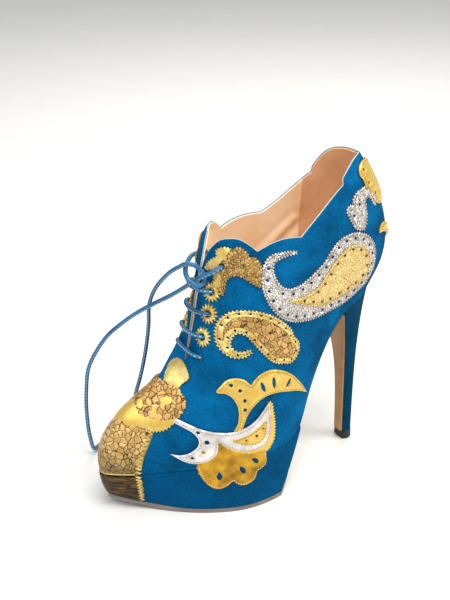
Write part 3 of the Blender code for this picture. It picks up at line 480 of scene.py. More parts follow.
def inside(ring, points):
    """Which points lie inside a closed outline."""
    a, b = ring, np.roll(ring, -1, 0)
    u, w = points[:, :1], points[:, 1:]
    crossing = (a[:, 1] > w) != (b[:, 1] > w)
    rise = np.where(b[:, 1] == a[:, 1], 1.0, b[:, 1] - a[:, 1])
    at = a[:, 0] + (w - a[:, 1]) / rise * (b[:, 0] - a[:, 0])
    return (crossing & (u < at)).sum(1) % 2 == 1


# Outlines of the ornament in its charts: runs of points between corners, and for a curled drop its spine
# with the half width at each point
SILVER_PAISLEY = [
    (56, 155, 0.8), (66, 155.3, 1.7), (73, 153.5, 2.6), (75.8, 148, 3.4), (75.5, 140.5, 4.8),
    (72, 132.5, 6.6), (65, 126.5, 9.2), (56, 124.5, 11.2), (46, 125.5, 13.2), (36, 128.5, 15.5),
    (26, 132.5, 18.5), (17, 139, 20)
]
GOLD_LOBE = [
    (64.5, 128.5, 0.6), (57, 126.5, 2), (48, 125.5, 4.5), (39, 126.5, 7.5), (31, 130.5, 10.2),
    (22, 135.5, 13.2), (17, 138.5, 13.5)
]
SILVER_LEAF = [
    [(5, 184.5), (10.3, 183.6), (13, 182.4), (14.7, 180.7), (15.7, 177.9), (15.4, 175.4)],
    [(17.6, 176.3), (19.6, 175.2), (20.5, 173.4), (19.9, 171.2), (18.2, 167.8), (15.7, 163.2),
     (14.4, 160.8)],
    [(7.4, 158.6)],
    [(5.7, 162.8), (5, 167.8), (5.4, 172.2), (5.9, 176.4)],
    [(4.7, 177.6), (1.4, 176.9), (-0.6, 173.5), (-3, 170.5)],
    [(-5, 174), (-3.5, 179), (0, 183)]
]
MID_PAISLEY = [
    (90.5, 102.5, 1.2), (95, 100.7, 1.6), (100.5, 101.5, 2.3), (103.5, 105.5, 3), (103, 110.5, 3.6),
    (100.3, 116, 4.8), (95.5, 119, 6.4), (89, 118.5, 7.6), (82.5, 114.5, 9.6), (76, 108, 10.8),
    (70, 101, 10.2), (66.5, 98.5, 8)
]
BACK_TAB = [
    [(5.5, 170.6), (9.7, 172)],
    [(11, 174.2), (12, 177.6)],
    [(14.9, 180), (16.8, 183.1), (17.6, 186.1)],
    [(18, 188.8), (19.5, 191), (19.9, 194.2), (18.4, 197), (15.6, 198.6), (12, 198.9)],
    [(5, 197.6), (-1, 196)],
    [(-5.6, 186), (-3.5, 179.8), (-0.4, 176)]
]
BACK_CRESCENT = [
    [(152, 0), (153.5, 7), (156, 12.5), (158, 16.5), (157.6, 18.7), (155.6, 20), (152.8, 20.3)],
    [(152.6, 18.4), (151.2, 16), (148, 13), (143, 7), (138, 0)]
]
COLLAR_LEAF = [
    [(-0.4, 148.5), (1.2, 151.2), (3.7, 153.4), (6.5, 155.1)],
    [(5.4, 158.3)],
    [(7.2, 159.8), (10.2, 161.1), (13.2, 161.3), (15.7, 160.4)],
    [(17.1, 161.5), (18.6, 162.3), (19.7, 162.1), (22, 160.8), (24.4, 158.3), (26, 155.7)],
    [(27.5, 156.7), (29.5, 155.3), (31.5, 152.6), (32.2, 150), (32.4, 146.6), (32.5, 142.6),
     (32.7, 138.6)],
    [(30.2, 139.6), (27.4, 141.5), (24.6, 143.3), (22.1, 144.9), (19.8, 145.7), (18.1, 145.8),
     (15.7, 145.1), (14, 143.7), (12.9, 141.9), (12.3, 139.8), (12.2, 137), (10.6, 133)],
    [(8.6, 137), (4.4, 139.2)],
    [(4.9, 142), (4.8, 144.6)],
    [(7.4, 147.2)],
    [(4, 147.4), (1.4, 146.6), (-0.9, 146.1)]
]
DOUBLE_LEAF = [
    [(111.7, 79.2), (109, 83), (105.5, 86.3), (101.7, 87.4), (97, 86.5), (93, 82.6)],
    [(86, 88.4), (80, 89.6), (72.7, 87.6), (66, 83.3), (59.8, 76.4), (51.8, 64.7)],
    [(61, 70.3), (70, 73.2), (78, 74.7), (84, 74.3), (88, 72.8), (91, 70.8), (94.2, 68.1), (97, 64.5),
     (98.7, 61.1), (100.3, 57), (101, 53.5)],
    [(107, 53.5)],
    [(104.8, 57.3), (103.1, 60.2), (102.1, 64), (101.7, 67.5), (102, 71.2), (103.1, 74.3), (105, 77.1),
     (107.8, 78.8)]
]
BRANCH = [
    [(133.2, 61.2), (128.7, 60), (122.6, 57.6), (117.6, 56.5), (111.2, 55.8), (105.5, 55.9), (100.5, 57),
     (94.1, 59.9), (90.8, 62.3), (88, 65.2), (83, 70.3)],
    [(82.7, 64), (82.6, 56.6), (82.9, 52), (83.7, 48.2), (85.5, 45.2), (88.3, 43.4), (91.6, 42.4),
     (95.5, 42), (99.2, 42.3), (103.2, 43.3), (106.6, 44.8), (114.6, 50.2)],
    [(114.7, 47.7), (115, 45.1), (116, 42.2), (117.6, 40.1), (120, 38.3), (122.6, 37), (127.2, 36),
     (132.1, 37.2), (136.7, 40), (138.9, 41.5)],
    [(134.2, 41.2), (131.8, 41.8), (129.3, 43.1), (126.7, 45.3), (125, 47.5), (124.2, 50.6),
     (125.1, 53.5), (126.6, 55.3), (130.6, 57.5), (134.2, 59.2)]
]
BRANCH_EDGE = [
    [(81.7, 70.2), (80.2, 64.1), (79.5, 58), (79.1, 52.4), (79.8, 45.8), (81.5, 41.5), (84.2, 38.7)],
    [(88, 39.8)],
    [(88.5, 45), (86, 47.5), (85, 52), (84.6, 58), (84.4, 65)],
    [(83.6, 70.6)]
]
BRANCH_LIP = [
    [(84.2, 38.9), (89.1, 38.4), (93.8, 38.7), (98.9, 39.6), (103.1, 40.9), (108.7, 43.7), (113.8, 47.6)],
    [(113.5, 50)],
    [(106, 47), (98, 44.5), (90, 45), (85.5, 47)]
]
CRESCENT = [
    [(111.5, 51.5), (107.9, 51.7), (102.9, 52.3), (99.5, 53.3), (95.9, 54.5), (92.7, 56.3), (89.4, 58.3),
     (85.4, 61.2)],
    [(85.3, 57.6), (85.8, 53.8), (86.7, 50.6), (88.5, 48), (91.2, 46.2), (94.4, 45.7), (98.1, 46.3),
     (101.5, 47.5), (105.4, 49.1)]
]
FAN = [
    [(126.4, 36.2), (125.9, 31.5), (124.8, 27.6), (123.1, 23.9), (120.6, 20.7), (117.4, 18.5),
     (114.7, 18.1), (111.4, 19.3), (107.3, 22.9)],
    [(105.7, 21), (103.4, 19.3), (99.7, 18.7), (96.6, 19.6), (94, 21.2), (92.7, 23.9), (92, 26.6)],
    [(89.3, 27.6), (86.8, 28.9), (85.6, 31.8), (85.7, 35.4), (85.5, 41)],
    [(91, 44), (98, 45), (105, 47.5), (111, 50.5), (115, 52)],
    [(118.5, 47.5), (123.7, 45.9), (127.4, 40.5)]
]
TOE_BODY = [
    [(162, 0), (158.5, 7.9), (154, 11.5), (145, 17.9), (136, 22.4), (128.6, 23.9)],
    [(125.8, 23.2), (125.6, 20.3), (126.4, 17), (126, 15)],
    [(128.8, 10.7), (132.7, 6.2), (134, 0)]
]
TOE_NECK = [
    [(130.2, 9.8), (128.7, 12.1), (126.8, 14.7)],
    [(124.8, 15), (123.3, 15.4), (121.6, 16.7), (120.3, 17.8)],
    [(119.7, 15.5), (119.1, 12), (118.8, 8), (118.7, 3), (119, 0), (119.6, -4), (120.6, -7.5)],
    [(122.6, -7), (125.5, -1), (129, 3), (132.3, 6.1)]
]

# Middle lines of the two free ends of the lace, from the top eyelets to the floor
OUTER_TAIL = [
    (98.5, 16.8, 151.6), (104, 13.8, 148.5), (109, 10.3, 145.3), (112.3, 4.6, 140.5),
    (113.8, -0.4, 136.4), (119.3, -10.8, 127.3), (126.1, -22, 118.4), (134.5, -33, 108.5),
    (141, -41, 99.5), (147, -47, 91), (153, -51, 80.5), (158, -55, 67), (160, -56.5, 50),
    (160.5, -57, 33), (159, -57.5, 14), (156, -59.5, 4), (150, -64.5, 2), (143, -69.5, 2),
    (136, -74, 2.2)
]
INNER_TAIL = [
    (100.5, -16.2, 152), (105.9, -10.5, 149.8), (110.8, -6.6, 147.7), (114.2, -2.2, 146.2),
    (116.2, 2.2, 145.2), (116.5, 6.2, 142.9), (114.4, 8.2, 140.6), (111.4, 9, 139.2), (108.7, 9, 139.9),
    (106.8, 7.7, 140.6), (106.3, 6.6, 142.4), (106.4, 5.9, 144.3), (108, 3.4, 147.3),
    (111.2, 1.7, 149.6), (114, -0.8, 149.9), (117, -6.3, 146.2), (119.4, -11.5, 142), (121.6, -16, 137),
    (124.4, -24, 126.5), (125.2, -30.5, 115), (124, -36, 97), (124.6, -40.5, 78), (127.5, -43, 60),
    (131, -45.5, 44), (133, -47, 27), (134, -50.5, 9), (132.5, -55, 3), (125, -58.5, 2), (112, -62, 2.2)
]


# Soft creases of the worn suede: a trough from one point to another with a low ridge on both sides
Crease = namedtuple("Crease", "start end width depth")
CREASES = [
    Crease((61, 37, 46), (80, 43, 40), 2.6, 0.55),
    Crease((66, 39, 56), (84, 42, 48), 4.0, 0.30),
    Crease((108, 28, 74), (121, 15, 77), 4.0, 0.40),
    Crease((112, 31, 64), (124, 22, 68), 3.5, 0.30),
    Crease((110, -27, 78), (124, -24, 70), 3.0, 0.60),
    Crease((113, -29, 68), (128, -25, 62), 3.0, 0.45),
    Crease((58, 31, 112), (62, 36, 84), 5.0, 0.35),
    Crease((60, -24, 100), (66, -27, 74), 5.0, 0.40),
    Crease((53, -27, 133), (27, -26, 154), 2.8, 0.90),
    Crease((40, -27, 131), (24, -26, 143), 3.5, 0.45),
]
RIDGE, RIDGE_AWAY = 0.4, 1.7  # the ridges' height in trough depths and distance in trough widths
FLAP_BOW = 2.2  # how far the inner flap bows out beside the slit, where the lace is loose
FLAP_WIDTH = 6.0
FLAP_FROM, FLAP_EASE = 7.4, 0.8  # section where the bow starts and the run of its start
FLAP_LOW, FLAP_RISE = 122, 28  # height where the bow starts and the run of its start


def crease_depth(points):
    """How far the suede stands in or out at each point."""
    depth = np.zeros(points.shape[:-1])
    for crease in CREASES:
        a, b = np.array(crease.start, float), np.array(crease.end, float)
        along = np.clip((points - a) @ (b - a) / ((b - a) @ (b - a)), 0, 1)
        away = np.linalg.norm(points - (a + along[..., None] * (b - a)), axis=-1) / crease.width
        depth += crease.depth * (RIDGE * np.exp(-(away - RIDGE_AWAY) ** 2) - np.exp(-away ** 2))
    return depth


def flap_bow(s, point):
    """How far the inner flap stands out near its slit edge."""
    away = np.linalg.norm(point - last_point(s, 1.0), axis=-1) / FLAP_WIDTH
    beside_slit = smooth((LOOP - s - FLAP_FROM) / FLAP_EASE) * (s > LAST)
    high = smooth((point[..., 2] - FLAP_LOW) / FLAP_RISE)
    return FLAP_BOW * beside_slit * high * away * np.exp((1 - away ** 2) / 2)


def suede_face(s, v):
    """Outer face of the suede with its creases, and the outward directions."""
    point, out = last_point(s, v), last_normal(s, v)
    stand = crease_depth(point) + flap_bow(s, point)
    return point + stand[..., None] * out, out


def skin(rings, closed=False, caps=True):
    """Points and faces that join a row of equal rings; open rows get end caps."""
    rings = np.asarray(rings, float)
    count, around = rings.shape[:2]
    index = np.arange(count * around).reshape(count, around)
    a = index if closed else index[:-1]
    b = np.roll(index, -1, 0) if closed else index[1:]
    faces = np.stack([a, np.roll(a, -1, 1), np.roll(b, -1, 1), b], -1).reshape(-1, 4).tolist()
    if caps and not closed:
        faces += [index[0].tolist(), index[-1].tolist()]
    return rings.reshape(-1, 3), faces


def joined(shapes):
    """Several lots of points and faces as one."""
    points, faces = [], []
    for shape_points, shape_faces in shapes:
        base = sum(len(p) for p in points)
        points.append(np.asarray(shape_points, float))
        faces += [[k + base for k in face] for face in shape_faces]
    return np.concatenate(points), faces


def add_object(name, data):
    """An object with its data, in the scene."""
    obj = bpy.data.objects.new(name, data)
    bpy.context.scene.collection.objects.link(obj)
    return obj


def make_object(name, shape, finishes, face_slots=None, crisp=40):
    """A mesh object in the frame from points in millimetres, with its faces turned outward."""
    points, faces = shape
    mesh = bpy.data.meshes.new(name)
    mesh.from_pydata((np.asarray(points) * MM + SHIFT).tolist(), [], faces)
    for one in finishes:
        mesh.materials.append(finish(one))
    if face_slots is not None:
        mesh.polygons.foreach_set("material_index", np.asarray(face_slots, np.int32))
    bm = bmesh.new()
    bm.from_mesh(mesh)
    bmesh.ops.recalc_face_normals(bm, faces=bm.faces)
    bm.to_mesh(mesh)
    bm.free()
    mesh.shade_smooth()
    mesh.set_sharp_from_angle(angle=math.radians(crisp))
    return add_object(name, mesh)


def belong(obj, slot, *nodes):
    """The piece rides on the shoe and stands for its solids; the slot is not used."""
    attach(obj, "root")
    if nodes:
        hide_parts(*nodes)
    return obj


def make_piece(name, shape, finishes, slot, *nodes, face_slots=None, crisp=40):
    """A finished piece that needs nothing more done to its mesh."""
    return belong(make_object(name, shape, finishes, face_slots, crisp), slot, *nodes)


def settle(obj):
    """Turn what the modifiers make into the object's own mesh."""
    deps = bpy.context.evaluated_depsgraph_get()
    mesh = bpy.data.meshes.new_from_object(obj.evaluated_get(deps), depsgraph=deps)
    mesh.name = obj.name
    obj.modifiers.clear()
    obj.data = mesh


def frames_along(route, start_up):
    """Two directions across a route at each of its points, turning as little as they can."""
    along = unit(np.gradient(route, axis=0))
    right = np.cross(along[0], start_up)
    rights = []
    for ahead in along:
        right = unit(right - ahead * np.dot(right, ahead))
        rights.append(right)
    rights = np.array(rights)
    return rights, np.cross(along, rights)


def turns(count):
    """Angles of even steps round a circle."""
    return np.linspace(0, 2 * math.pi, count, endpoint=False)


def tube(route, width, height, sides=12, start_up=(0, 0, 1), closed=False):
    """A rod of oval section along a route."""
    route = np.asarray(route, float)
    right, up = frames_along(route, np.array(start_up, float))
    turn = turns(sides)[None, :, None]
    rings = (route[:, None] + width / 2 * np.cos(turn) * right[:, None]
             + height / 2 * np.sin(turn) * up[:, None])
    return skin(rings, closed=closed)


EDGE_SOFT = 0.06  # share of the platform's wall that rounds over at its top
EDGE_TUCK = 0.7  # how far it goes in there


def platform_side(half, side, rise):
    """The platform's wall with its top edge rounded towards the seam."""
    half, rise = together(half, rise)
    over = EDGE_TUCK * (1 - smooth((1 - rise) / EDGE_SOFT))
    return platform_wall(half, side, rise) - over[..., None] * plan_out(loop_place(half, side))


class Surface:
    """The outer faces of suede and platform, which rays meet."""

    upper_grid = (541, 101)
    platform_grid = (201, 21)

    def __init__(self):
        s = np.linspace(0, LOOP, self.upper_grid[0])[:, None]
        v = topline(s) * np.linspace(0, 1, self.upper_grid[1])[None, :]
        grids = [suede_face(s + 0 * v, v)]
        half = np.linspace(PLATFORM_BACK, LAST, self.platform_grid[0])[:, None]
        rise = np.linspace(0, 1, self.platform_grid[1])[None, :]
        for side in (1, -1):
            out = plan_out(loop_place(half, side) + 0 * rise)
            grids.append((platform_side(half, side, rise), out))
        self.points, self.normals, self.quads = [], [], []
        for grid, out in grids:
            index = np.arange(grid.shape[0] * grid.shape[1]).reshape(grid.shape[:2]) + len(self.points)
            corners = (index[:-1, :-1], index[1:, :-1], index[1:, 1:], index[:-1, 1:])
            self.quads += np.stack(corners, -1).reshape(-1, 4).tolist()
            self.points += [Vector(p) for p in grid.reshape(-1, 3)]
            self.normals += out.reshape(-1, 3).tolist()
        self.tree = BVHTree.FromPolygons(self.points, self.quads)

    def meet(self, near, aim):
        """Where a ray through a chart point meets the shoe, and the smooth outward direction there."""
        hit, _, face, _ = self.tree.ray_cast(near - aim * REACH, aim)
        if hit is None:
            hit, _, face, _ = self.tree.find_nearest(near)
        quad = self.quads[face]
        shares = poly_3d_calc([self.points[k] for k in quad], hit)
        out = sum(share * np.array(self.normals[k]) for share, k in zip(shares, quad))
        return np.array(hit), unit(out)

    def land(self, rays):
        """Where several rays meet the shoe, and the outward directions there."""
        met = [self.meet(near, aim) for near, aim in rays]
        return np.array([hit for hit, _ in met]), np.array([out for _, out in met])

    def drop(self, chart, side, flat):
        """Where the points of a chart land."""
        return self.land(chart(side, u, w) for u, w in flat)


SURFACE = Surface()


LOT = 400  # points measured at one time, to spare memory
ROW_PITCH = 0.866  # from row to row of a triangle grid, as a share of its pitch
CLEAR_PITCH = 0.55  # room that grid points keep from outlines, as a share of the pitch


def room_to(marks, points):
    """Distance from each flat point to the nearest mark."""
    lots = np.array_split(points, len(points) // LOT + 1)
    return np.concatenate([np.linalg.norm(lot[:, None] - marks[None], axis=2).min(1) for lot in lots])


def triangles(ring, pitch, holes=(), lines=()):
    """Flat points and triangles that fill an outline around its holes, with edges along some lines."""
    low, high = ring.min(0), ring.max(0)
    rows = np.arange(low[1] + pitch / 2, high[1], ROW_PITCH * pitch)
    grid = np.array([(u + pitch / 2 * (k % 2), w) for k, w in enumerate(rows)
                     for u in np.arange(low[0], high[0], pitch)]).reshape(-1, 2)
    rim = np.concatenate([ring, *holes])
    marks = np.concatenate([rim, *lines])
    keep = inside(ring, grid) & (room_to(marks, grid) > CLEAR_PITCH * pitch)
    for hole in holes:
        keep &= ~inside(hole, grid)
    edges, start = [], 0
    for loop in (ring, *holes):
        edges += [(start + k, start + (k + 1) % len(loop)) for k in range(len(loop))]
        start += len(loop)
    for line in lines:
        edges += [(start + k, start + k + 1) for k in range(len(line) - 1)]
        start += len(line)
    spots = [Vector(p) for p in np.concatenate([marks, grid[keep]])]
    made = delaunay_2d_cdt(spots, edges, [], 0, 1e-5)
    flat, faces = np.array(made[0]), made[2]
    middle = np.array([flat[face].mean(0) for face in faces])
    kept = inside(ring, middle)
    for hole in holes:
        kept &= ~inside(hole, middle)
    return flat, [face for face, good in zip(faces, kept) if good], rim


EDGE_SHARE = 0.45  # height of a cut leather's edge, as a share of its thickness


def edge_rounding(room, soft):
    """Share of the thickness that a leather has at a distance from its edge."""
    return EDGE_SHARE + (1 - EDGE_SHARE) * smooth(room / soft)


def leather_shape(flat, faces, rim, place, base, top, soft=1.0):
    """A cut leather shape: flat points laid on the shoe, rounded off along its edges."""
    point, out = place(flat)
    height = base + (top - base) * edge_rounding(room_to(rim, flat), soft)
    low, high = point + base * out, point + height[:, None] * out
    count, edge_use = len(flat), {}
    for face in faces:
        for a, b in zip(face, face[1:] + face[:1]):
            if not edge_use.pop((b, a), None):
                edge_use[(a, b)] = True
    walls = [[b, a, a + count, b + count] for a, b in edge_use]
    under = [[k + count for k in reversed(face)] for face in faces]
    return np.concatenate([high, low]), [list(face) for face in faces] + under + walls


def pinked(ring, tooth, depth):
    """An outline with its edge cut in small teeth."""
    closed = np.concatenate([ring, ring[:1]])
    run = distance_along(closed)
    count = 2 * max(4, round(run[-1] / tooth))
    at = np.linspace(0, run[-1], count, endpoint=False)
    ring = np.stack([np.interp(at, run, column) for column in closed.T], -1)
    return ring + np.where(np.arange(count) % 2, 0.5, -0.5)[:, None] * depth * ring_out(ring)


def ring_out(ring):
    """Outward directions of a closed flat outline."""
    along = np.roll(ring, -1, 0) - np.roll(ring, 1, 0)
    area = (ring[:, 0] * np.roll(ring[:, 1], -1) - ring[:, 1] * np.roll(ring[:, 0], -1)).sum()
    return unit(np.stack([along[:, 1], -along[:, 0]], -1)) * np.sign(area)


INSET_CLEAR = 0.93  # room that a line keeps from its outline, as a share of the inset


def inset_line(ring, inset):
    """A line that follows an outline at a distance inside it, and which of its points are clear of it."""
    line = ring - inset * ring_out(ring)
    return line, (room_to(ring, line) > INSET_CLEAR * inset) & inside(ring, line)


def dots_along(ring, inset, spacing, radius):
    """Round holes in a row that follows an outline."""
    line, good = inset_line(ring, inset)
    holes, last = [], None
    for point, fine in zip(line, good):
        if fine and (last is None or np.linalg.norm(point - last) >= spacing):
            if all(np.linalg.norm(point - hole.mean(0)) > 0.7 * spacing for hole in holes):
                holes.append(oval(point, radius, radius))
                last = point
    return holes


def oval(middle, long, wide, lean=0.0, pointed=0.0, count=12):
    """A hole of round, lens or drop form; lean turns its long axis from +w."""
    turn = turns(count)
    across = wide * np.sin(turn) * (1 - pointed * np.maximum(0, np.cos(turn)))
    up = long * np.cos(turn)
    angle = math.radians(lean)
    u = across * math.cos(angle) - up * math.sin(angle)
    w = across * math.sin(angle) + up * math.cos(angle)
    return np.asarray(middle, float) + np.stack([u, w], -1)


def feed(node, inputs):
    """Give each input of a node its value, or the socket that feeds it."""
    for key, value in inputs.items():
        if isinstance(value, bpy.types.NodeSocket):
            node.id_data.links.new(value, node.inputs[key])
        else:
            node.inputs[key].default_value = value


def add_node(tree, kind, inputs=None, **settings):
    """A node with its settings and inputs."""
    node = tree.nodes.new(kind)
    for key, value in settings.items():
        setattr(node, key, value)
    feed(node, inputs or {})
    return node


def start_material(name):
    """An empty material, with what adds its nodes, the object coordinates and its surface shader."""
    material = bpy.data.materials.new(name)
    material.use_nodes = True
    material.node_tree.nodes.clear()
    add = partial(add_node, material.node_tree)
    where = add("ShaderNodeTexCoord").outputs["Object"]
    shader = add("ShaderNodeBsdfPrincipled")
    add("ShaderNodeOutputMaterial", {"Surface": shader.outputs[0]})
    return material, add, where, shader


def per_metre(mm):
    """Texture scale that repeats at a length given in millimetres."""
    return 1.0 / (mm * MM)


# Real tufts, pores, scales and plies are several times finer than the sizes used here. They are drawn
# this coarse, in millimetres, so that they show in a picture of the whole shoe.
NAP_AND_LIGHT_PATCH = 30  # one stroke of the brush over the suede, and one patch of painted light and shade
NAP_AND_LIGHT_SEED = 6.0  # which way the nap was brushed, set so that its light and dark patches also fall as painted light and shade
RUB_PATCH = 9  # places where foil is rubbed
PORE = 0.8
LACE_STITCH = 2.3  # from stitch to stitch along the lace
THREAD_PLY = 0.4  # from ply to ply of a thread


def suede_leather(name, base, low, bright=1.35):
    """Brushed suede: hand-sized patches of light and dark nap, also painted light and shade, and a fine
    felted grain.
    """
    material, add, where, shader = start_material(name)
    patch = add("ShaderNodeTexNoise", {
        "Vector": where, "W": NAP_AND_LIGHT_SEED, "Scale": per_metre(NAP_AND_LIGHT_PATCH), "Detail": 4.0, "Roughness": 0.6,
        "Distortion": 0.8}, noise_dimensions="4D")
    nap = add("ShaderNodeTexNoise", {
        "Vector": where, "Scale": per_metre(size("nap")), "Detail": 3.0, "Roughness": 0.7})
    nap_and_light = add("ShaderNodeMapRange", {"Value": patch.outputs["Fac"], "From Min": 0.34, "From Max": 0.68})
    ground = add("ShaderNodeMix", {0: nap_and_light.outputs[0], 6: low, 7: base}, data_type="RGBA")
    tuft = add("ShaderNodeMapRange", {
        "Value": nap.outputs["Fac"], "From Min": 0.3, "From Max": 0.72, "To Min": 0.62, "To Max": bright})
    brushed = add("ShaderNodeVectorMath", {
        0: ground.outputs[2], "Scale": tuft.outputs[0]}, operation="SCALE")
    bump = add("ShaderNodeBump", {"Height": nap.outputs["Fac"], "Strength": 0.5, "Distance": 0.25 * MM})
    feed(shader, {
        "Base Color": brushed.outputs[0], "Normal": bump.outputs[0], "Roughness": 0.95,
        "Specular IOR Level": 0.04, "Sheen Weight": 0.12, "Sheen Roughness": 0.55, "Sheen Tint": base})
    return material


def two_tone(name, base, shade, patch, grain, relief, gloss):
    """Two tones in uneven patches over a fine relief, from the sizes of both and the gloss."""
    material, add, where, shader = start_material(name)
    spread, pore = (add("ShaderNodeTexNoise", {"Vector": where, **noise}) for noise in (patch, grain))
    uneven = add("ShaderNodeMapRange", {
        "Value": spread.outputs["Fac"], "From Min": 0.35, "From Max": 0.7})
    paint = add("ShaderNodeMix", {0: uneven.outputs[0], 6: base, 7: shade}, data_type="RGBA")
    bump = add("ShaderNodeBump", {"Height": pore.outputs["Fac"], **relief})
    feed(shader, {"Base Color": paint.outputs[2], "Normal": bump.outputs[0], **gloss})
    return material


def foil_leather(name, base, shade, rough=0.38, metal=0.6, crinkle_mm=PORE, relief=0.15):
    """Foil pressed on smooth calf: a soft metal gleam broken by shallow pores and rubbed patches."""
    return two_tone(name, base, shade, {"Scale": per_metre(RUB_PATCH), "Detail": 3.0, "Roughness": 0.55},
                    {"Scale": per_metre(crinkle_mm), "Detail": 2.0},
                    {"Strength": 0.5, "Distance": relief * MM}, {"Metallic": metal, "Roughness": rough})


def crackled_leather(name, base, light, crack, scale_mm, gap, metal=0.5, rough=0.42, long=1.0,
                     shade_heights=None):
    """Foil that broke into plates over a soft hide: dark lines between, finer splits within, a rumpled
    face, and where two heights are given a painted shade darkens it from the upper one down to the lower one."""
    material, add, where, shader = start_material(name)
    scale_mm = scale_mm or size("crackle")
    bend = add("ShaderNodeTexNoise", {
        "Vector": where, "Scale": per_metre(1.3 * scale_mm), "Detail": 3.0, "Roughness": 0.6})
    shift = add("ShaderNodeVectorMath", {
        0: bend.outputs["Color"], "Scale": 0.75 * scale_mm * MM}, operation="SCALE")
    drawn = add("ShaderNodeVectorMath", {0: where, 1: (1 / long, 1 / long, 1.0)}, operation="MULTIPLY")
    bent = add("ShaderNodeVectorMath", {0: drawn.outputs[0], 1: shift.outputs[0]}, operation="ADD")
    plates = {"Vector": bent.outputs[0], "Scale": per_metre(scale_mm), "Randomness": 0.95}
    edge = add("ShaderNodeTexVoronoi", plates, feature="DISTANCE_TO_EDGE")
    plate = add("ShaderNodeTexVoronoi", plates)
    split = add("ShaderNodeTexVoronoi", {
        "Vector": bent.outputs[0], "Scale": per_metre(0.4 * scale_mm)}, feature="DISTANCE_TO_EDGE")
    shade = add("ShaderNodeSeparateColor", {"Color": plate.outputs["Color"]})
    uneven = add("ShaderNodeMath", {0: shade.outputs[0], 1: bend.outputs["Fac"]}, operation="MULTIPLY")
    lit = add("ShaderNodeMapRange", {"Value": uneven.outputs[0], "From Max": 0.55})
    foil = add("ShaderNodeMix", {0: lit.outputs[0], 6: base, 7: light}, data_type="RGBA")
    broken = add("ShaderNodeMapRange", {
        "Value": edge.outputs["Distance"], "From Min": 0.3 * gap, "From Max": gap})
    fine = add("ShaderNodeMapRange", {"Value": split.outputs["Distance"], "From Max": 0.1, "To Min": 0.6})
    whole = add("ShaderNodeMath", {0: broken.outputs[0], 1: fine.outputs[0]}, operation="MULTIPLY")
    paint = add("ShaderNodeMix", {0: whole.outputs[0], 6: crack, 7: foil.outputs[2]}, data_type="RGBA")
    raised = add("ShaderNodeMapRange", {
        "Value": edge.outputs["Distance"], "From Min": 0.0, "From Max": 2.6 * gap})
    height = add("ShaderNodeMath", {0: raised.outputs[0], 1: bend.outputs["Fac"]}, operation="ADD")
    bump = add("ShaderNodeBump", {"Height": height.outputs[0], "Strength": 0.75, "Distance": 0.3 * MM})
    shaded_paint = paint.outputs[2]
    if shade_heights:
        # Painted shade: the colour falls to 0.38 of itself from the upper height down to the lower one
        place = add("ShaderNodeSeparateXYZ", {"Vector": where})
        painted_shade = add("ShaderNodeMapRange", {
            "Value": place.outputs["Z"], "From Min": shade_heights[0] * MM, "From Max": shade_heights[1] * MM,
            "To Min": 0.38}, interpolation_type="SMOOTHSTEP")
        shaded_paint = add("ShaderNodeVectorMath", {0: shaded_paint, "Scale": painted_shade.outputs[0]},
                        operation="SCALE").outputs[0]
    feed(shader, {"Base Color": shaded_paint, "Normal": bump.outputs[0], "Metallic": metal, "Roughness": rough})
    return material


def dyed_grain(name, base, shade, rough=0.5, grain_mm=PORE, coat=0.0, patch_mm=14.0):
    """Dyed leather, thread or rubber: pores or fibres that break the gleam, and colour that lies uneven."""
    return two_tone(name, base, shade, {"Scale": per_metre(patch_mm), "Detail": 3.0},
                    {"Scale": per_metre(grain_mm), "Detail": 3.0, "Roughness": 0.6},
                    {"Strength": 0.4, "Distance": 0.15 * MM},
                    {"Roughness": rough, "Coat Weight": coat, "Coat Roughness": 0.35})


def sewn_lace(name, base, shade, thread):
    """Rolled lace leather with a seam on both faces: short pale stitches that follow it."""
    material = dyed_grain(name, base, shade, 0.42, 0.7, 0.15)
    add = partial(add_node, material.node_tree)
    shader = material.node_tree.nodes["Principled BSDF"]
    leather = shader.inputs["Base Color"].links[0].from_socket
    along = add("ShaderNodeAttribute", attribute_name="along")
    turned = add("ShaderNodeAttribute", attribute_name="turned")
    steps = add("ShaderNodeMath", {0: along.outputs["Fac"], 1: 1 / LACE_STITCH}, operation="MULTIPLY")
    step = add("ShaderNodeMath", {0: steps.outputs[0]}, operation="FRACT")
    short = add("ShaderNodeMath", {0: step.outputs[0], 1: 0.55}, operation="LESS_THAN")
    near = add("ShaderNodeMath", {0: turned.outputs["Fac"], 1: 0.2}, operation="LESS_THAN")
    stitch = add("ShaderNodeMath", {0: short.outputs[0], 1: near.outputs[0]}, operation="MULTIPLY")
    sewn = add("ShaderNodeMix", {0: stitch.outputs[0], 6: leather, 7: thread}, data_type="RGBA")
    feed(shader, {"Base Color": sewn.outputs[2]})
    return material


def spun_thread(name, base, shade):
    """Spun and waxed sewing thread: light and dark plies by turns."""
    return dyed_grain(name, base, shade, 0.6, THREAD_PLY, 0.0, THREAD_PLY)


